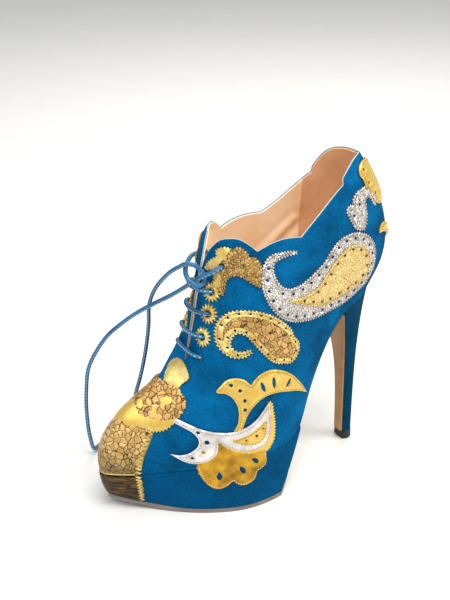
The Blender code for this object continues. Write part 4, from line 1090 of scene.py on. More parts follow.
# How each finish is made, its colours, and its sizes and gloss in the order of the function's values. A
# colour is a hex value or the name of one of the shoe's colours.
FINISHES = {
    # Suede, brushed after dyeing: deep and soft without gloss, lighter where the nap was stroked back
    # Its light and dark patches are also painted light and shade on the shoe
    "upper suede, brushed": (suede_leather, "suede", "#033f63"),
    # The platform's suede: the upper's suede darkened as painted shade
    "platform suede, brushed": (suede_leather, "suede_low", "#034164"),
    # Suede drawn tight over the heel: more even, and darker as painted shade
    "cover suede, brushed flat": (suede_leather, "#044464", "#03334d", 1.2),
    # The hide's raw inner face: pale and dusty
    "suede flesh side, raw": (suede_leather, "#3f86b4", "#2f73a5", 1.3),
    # Foil pressed on smooth calf: a soft gleam that goes dull where it is rubbed
    "gold foil calf, pressed": (foil_leather, "gold", "#d5ad4b"),
    "silver foil calf, pressed": (foil_leather, "silver", "#b3aca6", 0.36, 0.45),
    # The same foil on a softer hide that creased, darkened with brown patches as painted shade and painted
    # reflection of a dark surround
    "old gold foil calf, creased": (foil_leather, "#cf9f2c", "#7a5410", 0.34, 0.7, 2.6, 0.9),
    "pale gold foil, crinkled": (foil_leather, "#e8d383", "#caa04c", 0.4, 0.55, 1.8, 0.5),
    # Foil stretched until it broke: light plates with dark lines between them
    # On the toe cap the plates darken from 50 mm down to 24 mm above the floor, a painted shade
    "gold foil, stretched to plates": (
        crackled_leather, "#c4974f", "#f0ca84", "#33220b", None, 0.07, 0.5, 0.42, 1.0, (24, 50)),
    "gold foil, broken to plates": (crackled_leather, "#b18342", "#e4b970", "#33210b", 3.4, 0.065),
    # Broken in long rows round the platform: dark, with thin bright streaks
    "gold foil, creased in rows": (
        crackled_leather, "#46330f", "#7d5d22", "#120c04", 1.0, 0.17, 0.5, 0.42, 11.0),
    # Crackled all over in scales: a glitter of small facets
    "gold foil, finely crackled": (crackled_leather, "#9c7434", "#d9b468", "#40290f", 1.9, 0.09),
    "pale gold foil, finely crackled": (crackled_leather, "#dcbd72", "#efdc9c", "#9c7a38", 1.5, 0.05),
    "silver foil, finely crackled": (
        crackled_leather, "#c0b8b0", "#efebe6", "#6a625b", 1.7, 0.08, 0.45, 0.34),
    # Edges cut with a knife: fibres without gloss, darker than the face
    "gold leather, cut edge": (dyed_grain, "#a37d3b", "#8a652c", 0.55, 0.5, 0.0, 1.5),
    "silver leather, cut edge": (dyed_grain, "#8f867e", "#746c65", 0.55, 0.5, 0.0, 1.5),
    "raw leather edge, pale": (dyed_grain, "#b9c2c0", "#94a9b1", 0.6),
    # Lining leathers: warm and smooth in front, matt where the heel is held
    # Both are lighter than the leathers' own colours, a painted light for the inside of the shoe
    "goat lining, polished": (dyed_grain, "#ffe4c0", "#fbd2a2", 0.55),
    "heel grip kid, matt": (dyed_grain, "#e5b588", "#dba474", 0.8, 0.5),
    "sock leather, tan": (dyed_grain, "#e6bb88", "#d7a56c", 0.5),
    # Buffed sole and glued heel breast: firm leather with a low shine
    # The sole leather is darker than its own colour, a painted shade for the sole's edge by the floor
    "sole leather, buffed": (dyed_grain, "#7f7770", "#6b635c", 0.5),
    "breast leather, glued": (dyed_grain, "#b98a55", "#a47743", 0.5),
    # Lace leather under a thin wax: a narrow light along its back, and a row of pale stitches
    "lace leather, rolled and sewn": (sewn_lace, "lace", "#0f4a6e", "#9fc0d6"),
    "lace leather, cut in strips": (dyed_grain, "lace", "#0f4a6e", 0.42, 0.7, 0.15),
    # Moulded rubber: near black, with the faint bloom of its mould
    "top piece rubber, moulded": (dyed_grain, "#1a1a1a", "#0f0f10", 0.6, 0.7, 0.0, 3.0),
    # Waxed thread: small rounded stitches, light or dark against the leather that they hold
    "gold thread": (spun_thread, "#ae8639", "#916a25"),
    "pale gold thread": (spun_thread, "#f0dc94", "#d8bb66"),
    "brown thread": (spun_thread, "#694b1d", "#523911"),
    "silver thread": (spun_thread, "#a89b94", "#8d817a"),
    "grey thread": (spun_thread, "#685f57", "#504a44"),
}

GOLD, PALE, SILVER = "gold foil calf, pressed", "pale gold foil, crinkled", "silver foil calf, pressed"
# The fan's gold, darkened as painted shade
SHADED_GOLD = "old gold foil calf, creased"
GOLD_PLATES, SILVER_PLATES = "gold foil, broken to plates", "silver foil, finely crackled"
GOLD_CUT, SILVER_CUT = "gold leather, cut edge", "silver leather, cut edge"


def dye(value):
    """The colour that a hex value or a colour's name stands for; other values stay as they are."""
    if not isinstance(value, str):
        return value
    return tint(value) if value.startswith("#") else colour(value)


def finish(name):
    """A finish by its name, made once."""
    make, *values = FINISHES[name]
    return bpy.data.materials.get(name) or make(name, *[dye(value) for value in values])


# Upper

COLUMN_SHARE = 8  # fine columns for each column of the solid
OUTER_ROWS = 76
INNER_ROWS = 12
SUEDE_THICKNESS = 1.0
LINING_GAP = 0.02
LINING_TOP = 0.996  # share of the suede's height
CROWN = 0.3  # rise of a rounded upper edge, as a share of the wall
PIN_IN, PIN_OUT = 5, 4  # reach of the eyelet punch on both sides of the suede
GRIP_FRONT = 23.5  # where the heel grip meets the front lining


def fine_columns():
    """Loop positions of fine mesh columns, with every corner of the topline on one."""
    s = np.append(wall_columns(), LOOP)
    share = np.arange(COLUMN_SHARE) / COLUMN_SHARE
    return (s[:-1, None] + np.diff(s)[:, None] * share).ravel()


def wall_rings(s, top, near, far, rows_out, rows_in):
    """Rings across a wall of the upper between two depths, rounded over at its upper edge."""
    def depth_point(v, depth):
        point, out = suede_face(np.repeat(s[:, None], v.shape[1], 1), v)
        return point - depth * out
    top = top[:, None]
    outside = depth_point(top * np.linspace(0, 1, rows_out)[None, :], near)
    inside_wall = depth_point(top * np.linspace(1, 0, rows_in)[None, :], far)
    rise = unit(outside[:, -1] - outside[:, -2])[:, None]
    crown = depth_point(top, 0.5 * (near + far)) + CROWN * (far - near) * rise
    return np.concatenate([outside, crown, inside_wall], 1)


def punch(obj):
    """Cut the eyelet holes through a piece."""
    pins = []
    turn = turns(24)[:, None]
    for eyelet in EYELETS:
        for side in (1, -1):
            point, out = eyelet_place(eyelet, side)
            right, up = disc_frame(out)
            ring = point + EYELET_RADIUS * (np.cos(turn) * right + np.sin(turn) * up)
            pins.append(skin([ring - PIN_IN * out, ring + PIN_OUT * out]))
    pin = make_object("eyelet_pins", joined(pins), [])
    cut = obj.modifiers.new("eyelets", "BOOLEAN")
    cut.operation = "DIFFERENCE"
    cut.object = pin
    settle(obj)
    bpy.data.objects.remove(pin)


def build_upper():
    """The suede, with its raw inner face."""
    s = fine_columns()
    rings = wall_rings(s, topline(s), 0.0, SUEDE_THICKNESS, OUTER_ROWS, INNER_ROWS)
    shape = skin(rings, closed=True)
    around = rings.shape[1]
    flesh = [1 if OUTER_ROWS <= k % around < around - 1 else 0 for k in range(len(shape[1]))]
    suede = make_object("upper_suede", shape, ["upper suede, brushed", "suede flesh side, raw"], flesh, 50)
    punch(suede)
    belong(suede, "suede", "upper")


def build_lining():
    """Smooth lining, with a matt heel grip behind an upright seam."""
    s = fine_columns()
    rings = wall_rings(s, LINING_TOP * topline(s), SUEDE_THICKNESS + LINING_GAP, WALL,
                       INNER_ROWS, OUTER_ROWS // 2)
    lining = make_object("lining_leather", skin(rings, closed=True),
                         ["goat lining, polished", "heel grip kid, matt"])
    seam = Vector((SHIFT[0] + GRIP_FRONT * MM, 0, 0))
    bm = bmesh.new()
    bm.from_mesh(lining.data)
    bmesh.ops.bisect_plane(bm, geom=[*bm.verts, *bm.edges, *bm.faces], plane_co=seam, plane_no=(1, 0, 0))
    for face in bm.faces:
        face.material_index = int(face.calc_center_median().x < seam.x)
    bm.to_mesh(lining.data)
    bm.free()
    punch(lining)
    belong(lining, "lining_leather")


def build_topline_edge():
    """The raw edge of suede and lining, round the collar and down both sides of the slit."""
    s = fine_columns()
    point, out = suede_face(s, topline(s))
    route = point - 0.5 * SUEDE_THICKNESS * out
    width = 2 * size("edge_bead")
    make_piece("topline_edge", tube(route, width, width, 8, out[0], closed=True),
               ["raw leather edge, pale"], "suede")


# Sole and heel

PLATFORM_FRONT = LAST - 0.004  # section of the platform's last ring, just short of the toe's tip
TOE_CROWDING = 1.5  # how much closer its rings stand at the toe
OUTSOLE_EDGE = 0.6  # welt edge that shows beyond the platform's foot
OUTSOLE_SOFT = 0.35  # rounding of its edges
WAIST_INSET = 4.5
WAIST_THICKNESS = 1.8
WAIST_FRONT, WAIST_BACK = 6.3, 4.1  # sections between which the outsole follows the waist
SOCK_CROWN = 0.35  # the insole is this much thicker in its middle
STEM_RADIUS_LOW = 5.4
STEM_RADIUS_HIGH = 8.0
STEM_TAPER = 1.6
STEM_CORNER = math.radians(125)  # breast corners, turned from straight back
HEEL_FLARE = 4.0
HEEL_SEAT = [3.75, 3.0, 2.3, 1.6, 1.0, 0.45]  # sections of the seat, from the breast corner back
HEEL_SEAT_INSET = 0.3
TIP_OUT_LOW, TIP_OUT_HIGH = 0.35, 0.15  # how far the top piece stands out round the stem
TIP_SOFT = 0.4
BREAST_THICKNESS = 1.2
BREAST_TOP = 0.95
BREAST_INSET = 0.04  # share of the heel's breast left free on both sides


def platform_stations(count):
    """Sections of the platform's rings from its rear to the toe."""
    return PLATFORM_FRONT - (PLATFORM_FRONT - PLATFORM_BACK) * (1 - np.linspace(0, 1, count)) ** TOE_CROWDING


def build_platform():
    """The covered platform, with closer rows where its top edge rounds over."""
    half = platform_stations(150)[:, None]
    rise = np.concatenate([np.linspace(1, 0.9, 7), np.linspace(0.88, 0, 21)])[None, :]
    rings = np.concatenate([platform_side(half, 1, rise), platform_side(half, -1, rise)[:, ::-1]], 1)
    make_piece("platform_cover", skin(rings), ["platform suede, brushed"], "suede_dark", "platform", crisp=55)


def soften(obj, width_mm):
    """Rounded edges, made part of the mesh."""
    bevel = obj.modifiers.new("edges", "BEVEL")
    bevel.width = width_mm * MM
    bevel.segments = 3
    bevel.angle_limit = math.radians(50)
    settle(obj)


def build_outsole():
    """One sheet of leather: under the platform, up its rear face and along the waist to the heel."""
    rings = []

    def ring(edge, down):
        outer, inner = edge(1), edge(-1)
        rings.append([outer, inner, inner + down, outer + down])
    for half in platform_stations(70)[::-1]:
        ring(lambda side: platform_foot(half, side, OUTSOLE_EDGE) - [0, 0, SEAT_GAP],
             np.array([0, 0, -OUTSOLE_THICKNESS]))
    lean = platform_wall(PLATFORM_BACK, 1, 1.0) - platform_wall(PLATFORM_BACK, 1, 0.0)
    back = unit(np.array([-lean[2], 0, lean[0]]))
    for rise in np.linspace(0.2, 1, 9):
        ring(lambda side: platform_wall(PLATFORM_BACK, side, rise) + back * SEAT_GAP
             - [0, side * WAIST_INSET * min(1, 2 * rise), 0], back * WAIST_THICKNESS)
    for half in np.linspace(WAIST_FRONT, WAIST_BACK, 18):
        up = bed_up(half)
        ring(lambda side: feather(half, side) - [0, side * WAIST_INSET, 0] - SEAT_GAP * up,
             -WAIST_THICKNESS * up)
    outsole = make_object("outsole_leather", skin(rings), ["sole leather, buffed"])
    soften(outsole, OUTSOLE_SOFT)
    belong(outsole, "sole_leather", "outsole")


def cushion_ring(outer, inner, count, steep):
    """Points across a strip from its outer edge to its inner one, and how full it is at each."""
    across = np.linspace(0, 1, count)[:, None]
    return outer + (inner - outer) * across, smooth(np.minimum(across, 1 - across) * steep)


def build_insole():
    """The sock, a little fuller in its middle."""
    rings = []
    for half in np.concatenate([np.linspace(0.15, 14.2, 110), np.linspace(14.25, 14.8, 12)]):
        outer, inner = (bed_edge(half, side, WALL + 2 * SEAT_GAP, SEAT_GAP) for side in (1, -1))
        flat, full = cushion_ring(outer, inner, 13, 9)
        face = flat + (INSOLE_THICKNESS - SOCK_CROWN + SOCK_CROWN * full) * bed_up(half)
        rings.append(np.concatenate([face, [inner, outer]]))
    make_piece("insole_sock", skin(rings), ["sock leather, tan"], "lining_leather", "insole")


def heel_loop(level, side, count):
    """Points of one level from the breast corner to the back, on one side."""
    share = np.linspace(0, 1, count)
    half = np.interp(share * len(HEEL_SEAT), np.arange(len(HEEL_SEAT) + 1), HEEL_SEAT + [0.0])
    seat = bed_edge(half, side, HEEL_SEAT_INSET, -SEAT_GAP)
    angle = STEM_CORNER * (1 - share)
    radius = STEM_RADIUS_LOW + (STEM_RADIUS_HIGH - STEM_RADIUS_LOW) * level ** STEM_TAPER
    stem = np.stack([-radius * np.cos(angle), side * radius * np.sin(angle), np.zeros_like(angle)], -1)
    mix = level ** HEEL_FLARE
    foot = TIP_HEIGHT + SEAT_GAP
    point = stem * (1 - mix) + seat * mix
    point[:, 2] = foot + (seat[:, 2] - foot) * level
    return point


def build_heel():
    """The covered stem, from the top piece to the seat."""
    rings = []
    for level in np.linspace(0, 1, 90):
        outer, inner = heel_loop(level, 1, 37), heel_loop(level, -1, 37)
        rings.append(np.concatenate([outer, inner[-2::-1]]))
    make_piece("heel_cover", skin(rings), ["cover suede, brushed flat"], "suede", "heel", crisp=45)


def build_heel_tip():
    """The top piece that the heel stands on."""
    angle = np.linspace(STEM_CORNER, -STEM_CORNER, 49)
    ring = np.stack([-np.cos(angle), np.sin(angle), np.zeros_like(angle)], -1)
    low, high = (ring * (STEM_RADIUS_LOW + out) for out in (TIP_OUT_LOW, TIP_OUT_HIGH))
    high[:, 2] = TIP_HEIGHT
    tip = make_object("heel_top_piece", skin([low, high]), ["top piece rubber, moulded"])
    soften(tip, TIP_SOFT)
    belong(tip, "black_rubber", "heel_tip")


def build_breast_cover():
    """The strip of leather down the heel's front."""
    rings = []
    for level in np.linspace(0, BREAST_TOP, 60):
        outer, inner = (heel_loop(level, side, 7)[0] for side in (1, -1))
        aside = (inner - outer) * BREAST_INSET
        outer, inner = outer + aside, inner - aside
        flat, full = cushion_ring(outer, inner, 9, 7)
        face = flat + [1.0, 0, 0] * (SEAT_GAP + BREAST_THICKNESS * (0.5 + 0.5 * full))
        rings.append(np.concatenate([face, [inner, outer]]))
    make_piece("breast_leather", skin(rings), ["breast leather, glued"], "tan_leather", "breast_cover")


# Toe

CAP_SECTION = 12.55  # side edge of the cap
CAP_TOP = 0.75  # highest share of the rib that it covers
CAP_LOW = 0.004
CAP_TUCK = 1.2  # how far the cap runs under the toe ornament
CAP_TOOTH = 0.10  # depth of the teeth on the cap's side edges, in sections
BAND_SLANT = 0.35  # the band's side edge leans back towards the floor
BAND_LOW = 0.05
BAND_HIGH = 0.985
BAND_CRINKLES = 5
CRINKLE = 0.28
SHEET_BASE = 0.1  # underside of a leather above what it lies on
CAP_SPAN, BAND_SPAN = (110, 26), (130, 20)  # rough width and height, for the rounding of their edges
EDGE_STRIP = 3  # columns of the cap's pale edge strip
SEAM_RISE = 0.012  # the bead over the seam of cap and band, above the cap's lower edge
SEAM_OUT = 1.05


def cap_top(s):
    """Share of the rib covered by the cap: up to just under the toe ornament."""
    ring = mirrored(TOE_BODY, 1.0)
    v = np.linspace(CAP_LOW, CAP_TOP, 96)
    point = last_point(s, v)
    flat = np.stack([point[:, 0], point[:, 1] - TOE_AXIS], -1)
    flat[:, 1] = np.where(flat[:, 1] < 0, flat[:, 1] / INNER_TOE, flat[:, 1])
    covered = inside(ring, flat) & (room_to(ring, flat) > CAP_TUCK)
    return v[np.argmax(covered)] if covered.any() else CAP_TOP


def saw(share, teeth):
    """A zigzag between -1 and 1."""
    return 4 * np.abs((share * teeth) % 1 - 0.5) - 1


def stretch_sheet(name, node, base, out, height, strip, finishes):
    """A leather over a grid of surface points, with its own height at each and pale strips at its ends."""
    columns, rows = height.shape
    low, high = base + SHEET_BASE * out, base + height[..., None] * out
    shape = skin(np.concatenate([high, low[:, ::-1]], 1))
    tones = [int(not strip <= k // (2 * rows) < columns - 1 - strip) for k in range(len(shape[1]))]
    make_piece(name, shape, finishes, "gold_crackle", node, face_slots=tones)


def rim_height(shape, span, soft):
    """Height over a grid that rounds off towards its four edges."""
    across, up = (np.linspace(0, long, count) for long, count in zip(span, shape))
    room = np.minimum(np.minimum(across, span[0] - across)[:, None], np.minimum(up, span[1] - up)[None, :])
    return ORNAMENT_LIFT + APPLIQUE_THICKNESS * edge_rounding(room, soft)


def build_toe_cap():
    """The cap, with pinked side edges, and the bead over its lower seam."""
    columns, rows, teeth = 161, 45, 11
    rise = np.linspace(0, 1, rows)[None, :]
    edge = CAP_SECTION + CAP_TOOTH * saw(rise, teeth)
    s = edge + (LOOP - 2 * edge) * np.linspace(0, 1, columns)[:, None]
    top = np.array([cap_top(one) for one in s[:, rows // 2]])[:, None]
    v = CAP_LOW + (top - CAP_LOW) * rise
    point, out = suede_face(s, v)
    stretch_sheet("toe_cap_leather", "toe_cap", point, out, rim_height(s.shape, CAP_SPAN, 1.0), EDGE_STRIP,
                  ["gold foil, stretched to plates", PALE])
    seam, out = suede_face(s[EDGE_STRIP:-EDGE_STRIP, 0], CAP_LOW + SEAM_RISE)
    make_piece("toe_cap_seam", tube(seam + SEAM_OUT * out, 1.3, 1.1, 8, out[0]),
               [PALE], "gold_crackle")


def build_toe_band():
    """The band round the platform's front, creased along its length."""
    columns, rows, teeth = 81, 41, 9
    rise = np.linspace(0, 1, rows)[None, :]
    level = BAND_LOW + (BAND_HIGH - BAND_LOW) * rise
    edge = CAP_SECTION - BAND_SLANT * (1 - level) + CAP_TOOTH * saw(rise, teeth)
    half = edge + (LAST - edge) * np.linspace(0, 1, columns)[:, None]
    point = np.concatenate([platform_side(half, 1, level), platform_side(half, -1, level)[-2::-1]])
    out = np.concatenate([plan_out(half), plan_out(LOOP - half)[-2::-1]])
    share = np.linspace(0, 1, len(point))[:, None]
    wave = 0.16 * np.sin(23 * share) + 0.09 * np.sin(61 * share + 2)
    fold = np.sin(2 * math.pi * (BAND_CRINKLES * rise + 1.3 * wave))
    height = rim_height(point.shape[:2], BAND_SPAN, 0.9) + CRINKLE * (fold - 1) / 2
    stretch_sheet("toe_band_leather", "toe_band", point, out, height, EDGE_STRIP + 1,
                  ["gold foil, creased in rows", PALE])


# Ornament

OUTLINE_FINE = 0.9  # spacing of points along an outline
SHEET_PITCH = 1.5  # spacing of points inside it
LAYER_RISE = 1.2  # from the first layer of ornament to the second
DOT = 0.95  # radius of the small punched dots
STITCH_INSET = 1.15
PAISLEY_BORDER = 3.5  # width of the gold paisley's pale border
# On the toe ornament, where the plates end: distance from the middle, x
SMOOTH_BAND = [(0, 150), (5, 150.6), (8, 150.9), (11.7, 148), (14.3, 144.7), (16.5, 141.9), (20.4, 135.8),
               (23.8, 130.4)]
SMOOTH_SPOTS = [(134.5, 14.1, 3.7, 1.3, 59), (148.2, 6.4, 1.9, 1.5, 0), (142.7, 13.4, 1.6, 1.3, 0)]
LEAF_LINE = [(15.2, 164), (12.6, 157), (9.4, 152.5), (8.6, 148), (9.6, 143), (8.8, 138), (7, 132)]

# Rows of dots that follow a drop's outline: outline, inset, spacing, radius
BORDER_DOTS = (SILVER_PAISLEY, 3.3, 6.3, DOT)
LOBE_DOTS = (GOLD_LOBE, 2.6, 6.3, DOT)
PAISLEY_DOTS = (MID_PAISLEY, 1.9, 5.4, 0.7)
# Holes at chosen places: u, w, half length, half width, lean, point
TAB_HOLES = [(15.4, 194.2, 0.9, 0.9), (13.5, 185.7, 0.9, 0.9), (8.6, 178.2, 0.9, 0.9)]
SILVER_LEAF_HOLES = [(15.1, 169.2, DOT, DOT), (10.8, 175.2, DOT, DOT)]
LEAF_HOLES = [(103.8, 83.4, 1.1, 1.1), (99.4, 80, 1.1, 1.1), (97.5, 73.9, 1.1, 1.1), (98, 68.4, 1.1, 1.1),
              (85.8, 80.4, 3.3, 1.15, -17), (78.5, 81.5, 3.5, 1.2, -2), (68.3, 78.3, 2.9, 1.1, 37)]
CRESCENT_HOLES = [(99.3, 49.9, 0.6, 0.6), (92.8, 51.5, 0.9, 0.9), (88.4, 55.2, 0.6, 0.6)]
BRANCH_HOLES = [(123.9, 55.5, 0.9, 0.9), (120.3, 50, 1.3, 1.3), (128.4, 39.9, 0.85, 0.85),
                (122.7, 43.7, 1.0, 1.0)] + CRESCENT_HOLES  # the crescent's go through both leathers
FAN_HOLES = [(114.8, 27.1, 3.0, 1.6, 0, 0.6), (101.6, 29.9, 3.4, 1.6, -27, 0.6),
             (93.2, 34.2, 2.7, 1.5, -40, 0.6)]


def one_tone(_ring):
    """The same foil all over."""
    return [], lambda flat: np.zeros(len(flat), bool)


def pale_border(ring):
    """The border of the gold paisley: pale along the edge, plates within."""
    line, good = inset_line(ring, PAISLEY_BORDER)
    runs = [line[k:k + 2] for k in range(len(line) - 1) if good[k] and good[k + 1]]
    return runs, lambda flat: room_to(ring, flat) < PAISLEY_BORDER


def smooth_front(_ring):
    """The toe ornament's smooth front band and a few spots where the foil stayed whole."""
    band = curve([(x, w) for w, x in SMOOTH_BAND], 1.0)
    spots = [oval((x, w), long, wide, turn, count=20) for x, w, long, wide, turn in SMOOTH_SPOTS]
    lines = [band, (band * [1, -1])[::-1]] + [np.concatenate([spot, spot[:1]]) for spot in spots]

    def whole(flat):
        edge = np.interp(np.abs(flat[:, 1]), *zip(*SMOOTH_BAND))
        bare = flat[:, 0] > edge
        for spot in spots:
            bare |= inside(spot, flat)
        return bare
    return lines, whole


def leaf_side(ring):
    """The collar leaf's front part, where the foil is smooth and pale."""
    line = curve(LEAF_LINE, 1.0)
    u, w = line[::-1].T
    return [line[inside(ring, line)]], lambda flat: flat[:, 0] < np.interp(flat[:, 1], w, u)


BOTH_SIDES, MIDDLE = (("outer", 1), ("inner", -1)), (("", 1),)
SEAM_BRIDGE = (-2.4, -1.2, 0, 1.2, 2.4)  # the fan lies across the platform's seam and spans its groove
# One ornament: its outline, layer and foil, the chart it is drawn in, its slot, stitches and teeth,
# a second foil where it has two tones, and its holes
Look = namedtuple(
    "Look", "name design layer finish chart shape slot stitches teeth sides tones second cut bridge "
    "holes dots",
    defaults=(GOLD, side_chart, outline, "gold_leather", "gold thread", 0, BOTH_SIDES, one_tone, GOLD,
              GOLD_CUT, (0,), (), ()))
LOOKS = [
    Look("silver_paisley", SILVER_PAISLEY, 0, SILVER_PLATES, shape=teardrop, slot="silver_crackle",
         stitches="grey thread", teeth=1, cut=SILVER_CUT, dots=[BORDER_DOTS, LOBE_DOTS]),
    Look("gold_lobe", GOLD_LOBE, 1, "pale gold foil, finely crackled", shape=teardrop, teeth=0.4,
         dots=[LOBE_DOTS]),
    Look("silver_leaf", SILVER_LEAF, 0, SILVER_PLATES, slot="silver_crackle", stitches="grey thread",
         teeth=1, cut=SILVER_CUT, holes=SILVER_LEAF_HOLES),
    Look("back_tab", BACK_TAB, 0.35, chart=heel_chart, holes=TAB_HOLES),
    Look("collar_leaf", COLLAR_LEAF, 0.3, "gold foil, finely crackled", quarter_chart, slot="gold_crackle",
         stitches="", teeth=0.8, tones=leaf_side, second=PALE),
    Look("mid_paisley", MID_PAISLEY, 0, GOLD_PLATES, shape=teardrop, slot="gold_crackle",
         stitches="brown thread", teeth=1, tones=pale_border, second=PALE, dots=[PAISLEY_DOTS]),
    Look("double_leaf", DOUBLE_LEAF, 0, holes=LEAF_HOLES),
    Look("fan", FAN, 0.1, SHADED_GOLD, stitches="pale gold thread", bridge=SEAM_BRIDGE, holes=FAN_HOLES),
    Look("branch_edge", BRANCH_EDGE, 0.2, stitches="", teeth=1),
    Look("branch_lip", BRANCH_LIP, 0.2, stitches=""),
    Look("branch", BRANCH, 0.65, SILVER, slot="silver_crackle", stitches="silver thread", cut=SILVER_CUT,
         holes=BRANCH_HOLES),
    Look("crescent", CRESCENT, 1.1, holes=CRESCENT_HOLES),
    Look("back_crescent", BACK_CRESCENT, 0, GOLD, rear_chart, mirrored, sides=MIDDLE),
    Look("toe_body", TOE_BODY, 0.4, GOLD_PLATES, top_chart, mirrored, "gold_crackle", "", 0.5, MIDDLE,
         smooth_front),
    Look("toe_neck", TOE_NECK, 0.6, PALE, top_chart, stitches="", teeth=0.25, sides=MIDDLE),
]
PART_OF_BRANCH = ("branch_edge", "branch_lip")  # these have no solid of their own
SEAMS = {"gold_lobe": [(25.2, 133.4), (21.5, 130.6), (17.4, 127.2)]}  # joins within one leather
THREAD_SLOTS = {"gold thread": "gold_leather", "brown thread": "gold_crackle",
                "silver thread": "silver_crackle", "grey thread": "silver_crackle",
                "pale gold thread": "gold_leather"}
THREADS = {name: [] for name in THREAD_SLOTS}
THREAD_RISE = 0.02  # the middle of a stitch above the leather's face
SHORTEST_SEAM = 4  # points


def punched(look):
    """The holes of an ornament."""
    holes = [oval(hole[:2], *hole[2:]) for hole in look.holes]
    for design, *how in look.dots:
        holes += dots_along(teardrop(design, OUTLINE_FINE), *how)
    return holes


def sew_later(thread, point, out, good, height):
    """Keep the good runs of a line for the stitching."""
    run = []
    for at, up, fine in [*zip(point, out, good), (0, 0, False)]:
        if fine:
            run.append(at + height * up)
        else:
            THREADS[thread] += [run] if len(run) >= SHORTEST_SEAM else []
            run = []


def build_ornament(look, label, side):
    """One leather ornament, and the lines along which it is sewn down."""
    ring = look.shape(look.design, OUTLINE_FINE)
    top = ORNAMENT_LIFT + APPLIQUE_THICKNESS + LAYER_RISE * look.layer
    cut = pinked(ring, size("tooth"), look.teeth * size("tooth_depth")) if look.teeth else ring
    lines, second = look.tones(ring)

    def place(flat):
        lots = [SURFACE.drop(look.chart, side, np.add(flat, [0, w])) for w in look.bridge]
        return np.mean([lot[0] for lot in lots], 0), unit(np.mean([lot[1] for lot in lots], 0))
    flat, faces, rim = triangles(cut, SHEET_PITCH, punched(look), lines)
    shape = leather_shape(flat, faces, rim, place, LAYER_RISE * look.layer + SHEET_BASE, top)
    tones = np.full(len(shape[1]), 2)
    tones[:len(faces)] = second(np.array([flat[face].mean(0) for face in faces]))
    node = "_".join(part for part in (look.name, label) if part)
    obj = make_object(node + "_leather", shape, [look.finish, look.second, look.cut], tones)
    if look.name == "collar_leaf":
        punch(obj)
    belong(obj, look.slot, *([] if look.name in PART_OF_BRANCH else [node]))
    seams = [(look.stitches, *inset_line(ring, STITCH_INSET))] if look.stitches else []
    if look.tones is pale_border:
        seams.append(("brown thread", *inset_line(ring, PAISLEY_BORDER)))
    if look.name in SEAMS:
        line = curve(SEAMS[look.name], 0.8)
        seams.append(("brown thread", line, [True] * len(line)))
    for thread, line, good in seams:
        sew_later(thread, *place(line), good, top + THREAD_RISE)


# Eyelets

Eyelet = namedtuple("Eyelet", "x z sunburst")
EYELETS = [Eyelet(97.6, 150.3, False), Eyelet(104, 134.5, True), Eyelet(107, 121.7, True),
           Eyelet(110.8, 107.5, True), Eyelet(114, 95.8, False)]
RAYS = 15
RAY_OUT, RAY_IN = 6.4, 3.9
SUNBURST_HOLE = 2.1
RAY_PITCH, RAY_SOFT = 0.8, 0.7  # spacing of a star's points and rounding of its edges
BAR_LIFT = 1.95  # middle of the lace over bare suede
BAR_SHARES = (0.12, 0.45, 0.85)  # places of a bar from its eyelet to the slit's edge
BAR_RISE = np.array([0.75, 1.0, 1.0])
SLIT_EDGE_U = -4.0  # the slit's edge in the quarter chart, beside the second row
SLIT_LEAN = 0.75  # how fast that edge runs forward with the rows


def eyelet_place(eyelet, side):
    """Middle of an eyelet on the suede, and the outward direction there."""
    return SURFACE.meet(*side_chart(side, eyelet.x, eyelet.z))


def disc_frame(out):
    """Two directions across an eyelet."""
    right = unit(np.cross(out, [0, 0, 1.0]))
    return right, np.cross(right, out)


def build_sunburst(row, label, side):
    """A gold star round an eyelet, its rays cut to points."""
    point, out = eyelet_place(EYELETS[row], side)
    right, up = disc_frame(out)

    def place(flat):
        return SURFACE.land((Vector(point + u * right + w * up), Vector(-out)) for u, w in flat)
    turn = turns(4 * RAYS)
    radius = RAY_IN + (RAY_OUT - RAY_IN) * np.tile([0, 0.5, 1, 0.5], RAYS)
    star = radius[:, None] * np.stack([np.cos(turn), np.sin(turn)], -1)
    hole = oval((0, 0), SUNBURST_HOLE, SUNBURST_HOLE, count=24)
    shape = leather_shape(*triangles(star, RAY_PITCH, [hole]), place, SHEET_BASE,
                          ORNAMENT_LIFT + APPLIQUE_THICKNESS, RAY_SOFT)
    node = f"sunburst_{row + 1}_{label}"
    make_piece(node + "_leather", shape, [PALE], "gold_leather", node)


# Lace

LACE_FLAT = 0.86  # height of the rolled lace against its width
LACE_INSIDE = 4.2  # depth of the lace behind the suede
LACE_MOUTH = 0.4  # and in the mouth of an eyelet
FINE_STEP = 0.8


def roll_lace(name, line, sides, start_up=(0, 0, 1)):
    """The lace along a line. Its points note how far along they lie and how far round from its seams."""
    lace = make_object(name, tube(line, LACE_DIAMETER, LACE_FLAT * LACE_DIAMETER, sides, start_up),
                       ["lace leather, rolled and sewn"])
    notes = {"along": np.repeat(distance_along(line), sides),
             "turned": np.tile(np.abs(np.sin(turns(sides))), len(line))}
    for note, values in notes.items():
        lace.data.attributes.new(note, "FLOAT", "POINT").data.foreach_set("value", values.astype(np.float32))
    return lace


def bar_route(row):
    """Middle line of the lace across the slit, from the outer eyelet to the inner one."""
    eyelet = EYELETS[row]
    lift = BAR_LIFT + (ORNAMENT_LIFT + APPLIQUE_THICKNESS if eyelet.sunburst else 0.0)
    route = []
    for side in (1, -1):
        start = eyelet_place(eyelet, side)[0]
        ahead = start[0] - QUARTER_X
        u = (side * start[1] - QUARTER_Y) * math.cos(QUARTER_TURN) - ahead * math.sin(QUARTER_TURN)
        edge = SLIT_EDGE_U - SLIT_LEAN * ahead
        flat = [(u + (edge - u) * share, eyelet.z) for share in BAR_SHARES]
        point, out = SURFACE.drop(quarter_chart, side, flat)
        point = point + BAR_RISE[:, None] * lift * out
        route += list(point if side > 0 else point[::-1])
    return route


def in_eyelet(row, side, depth):
    """The lace's middle at a depth under the suede's face."""
    point, out = eyelet_place(EYELETS[row], side)
    return point - depth * out


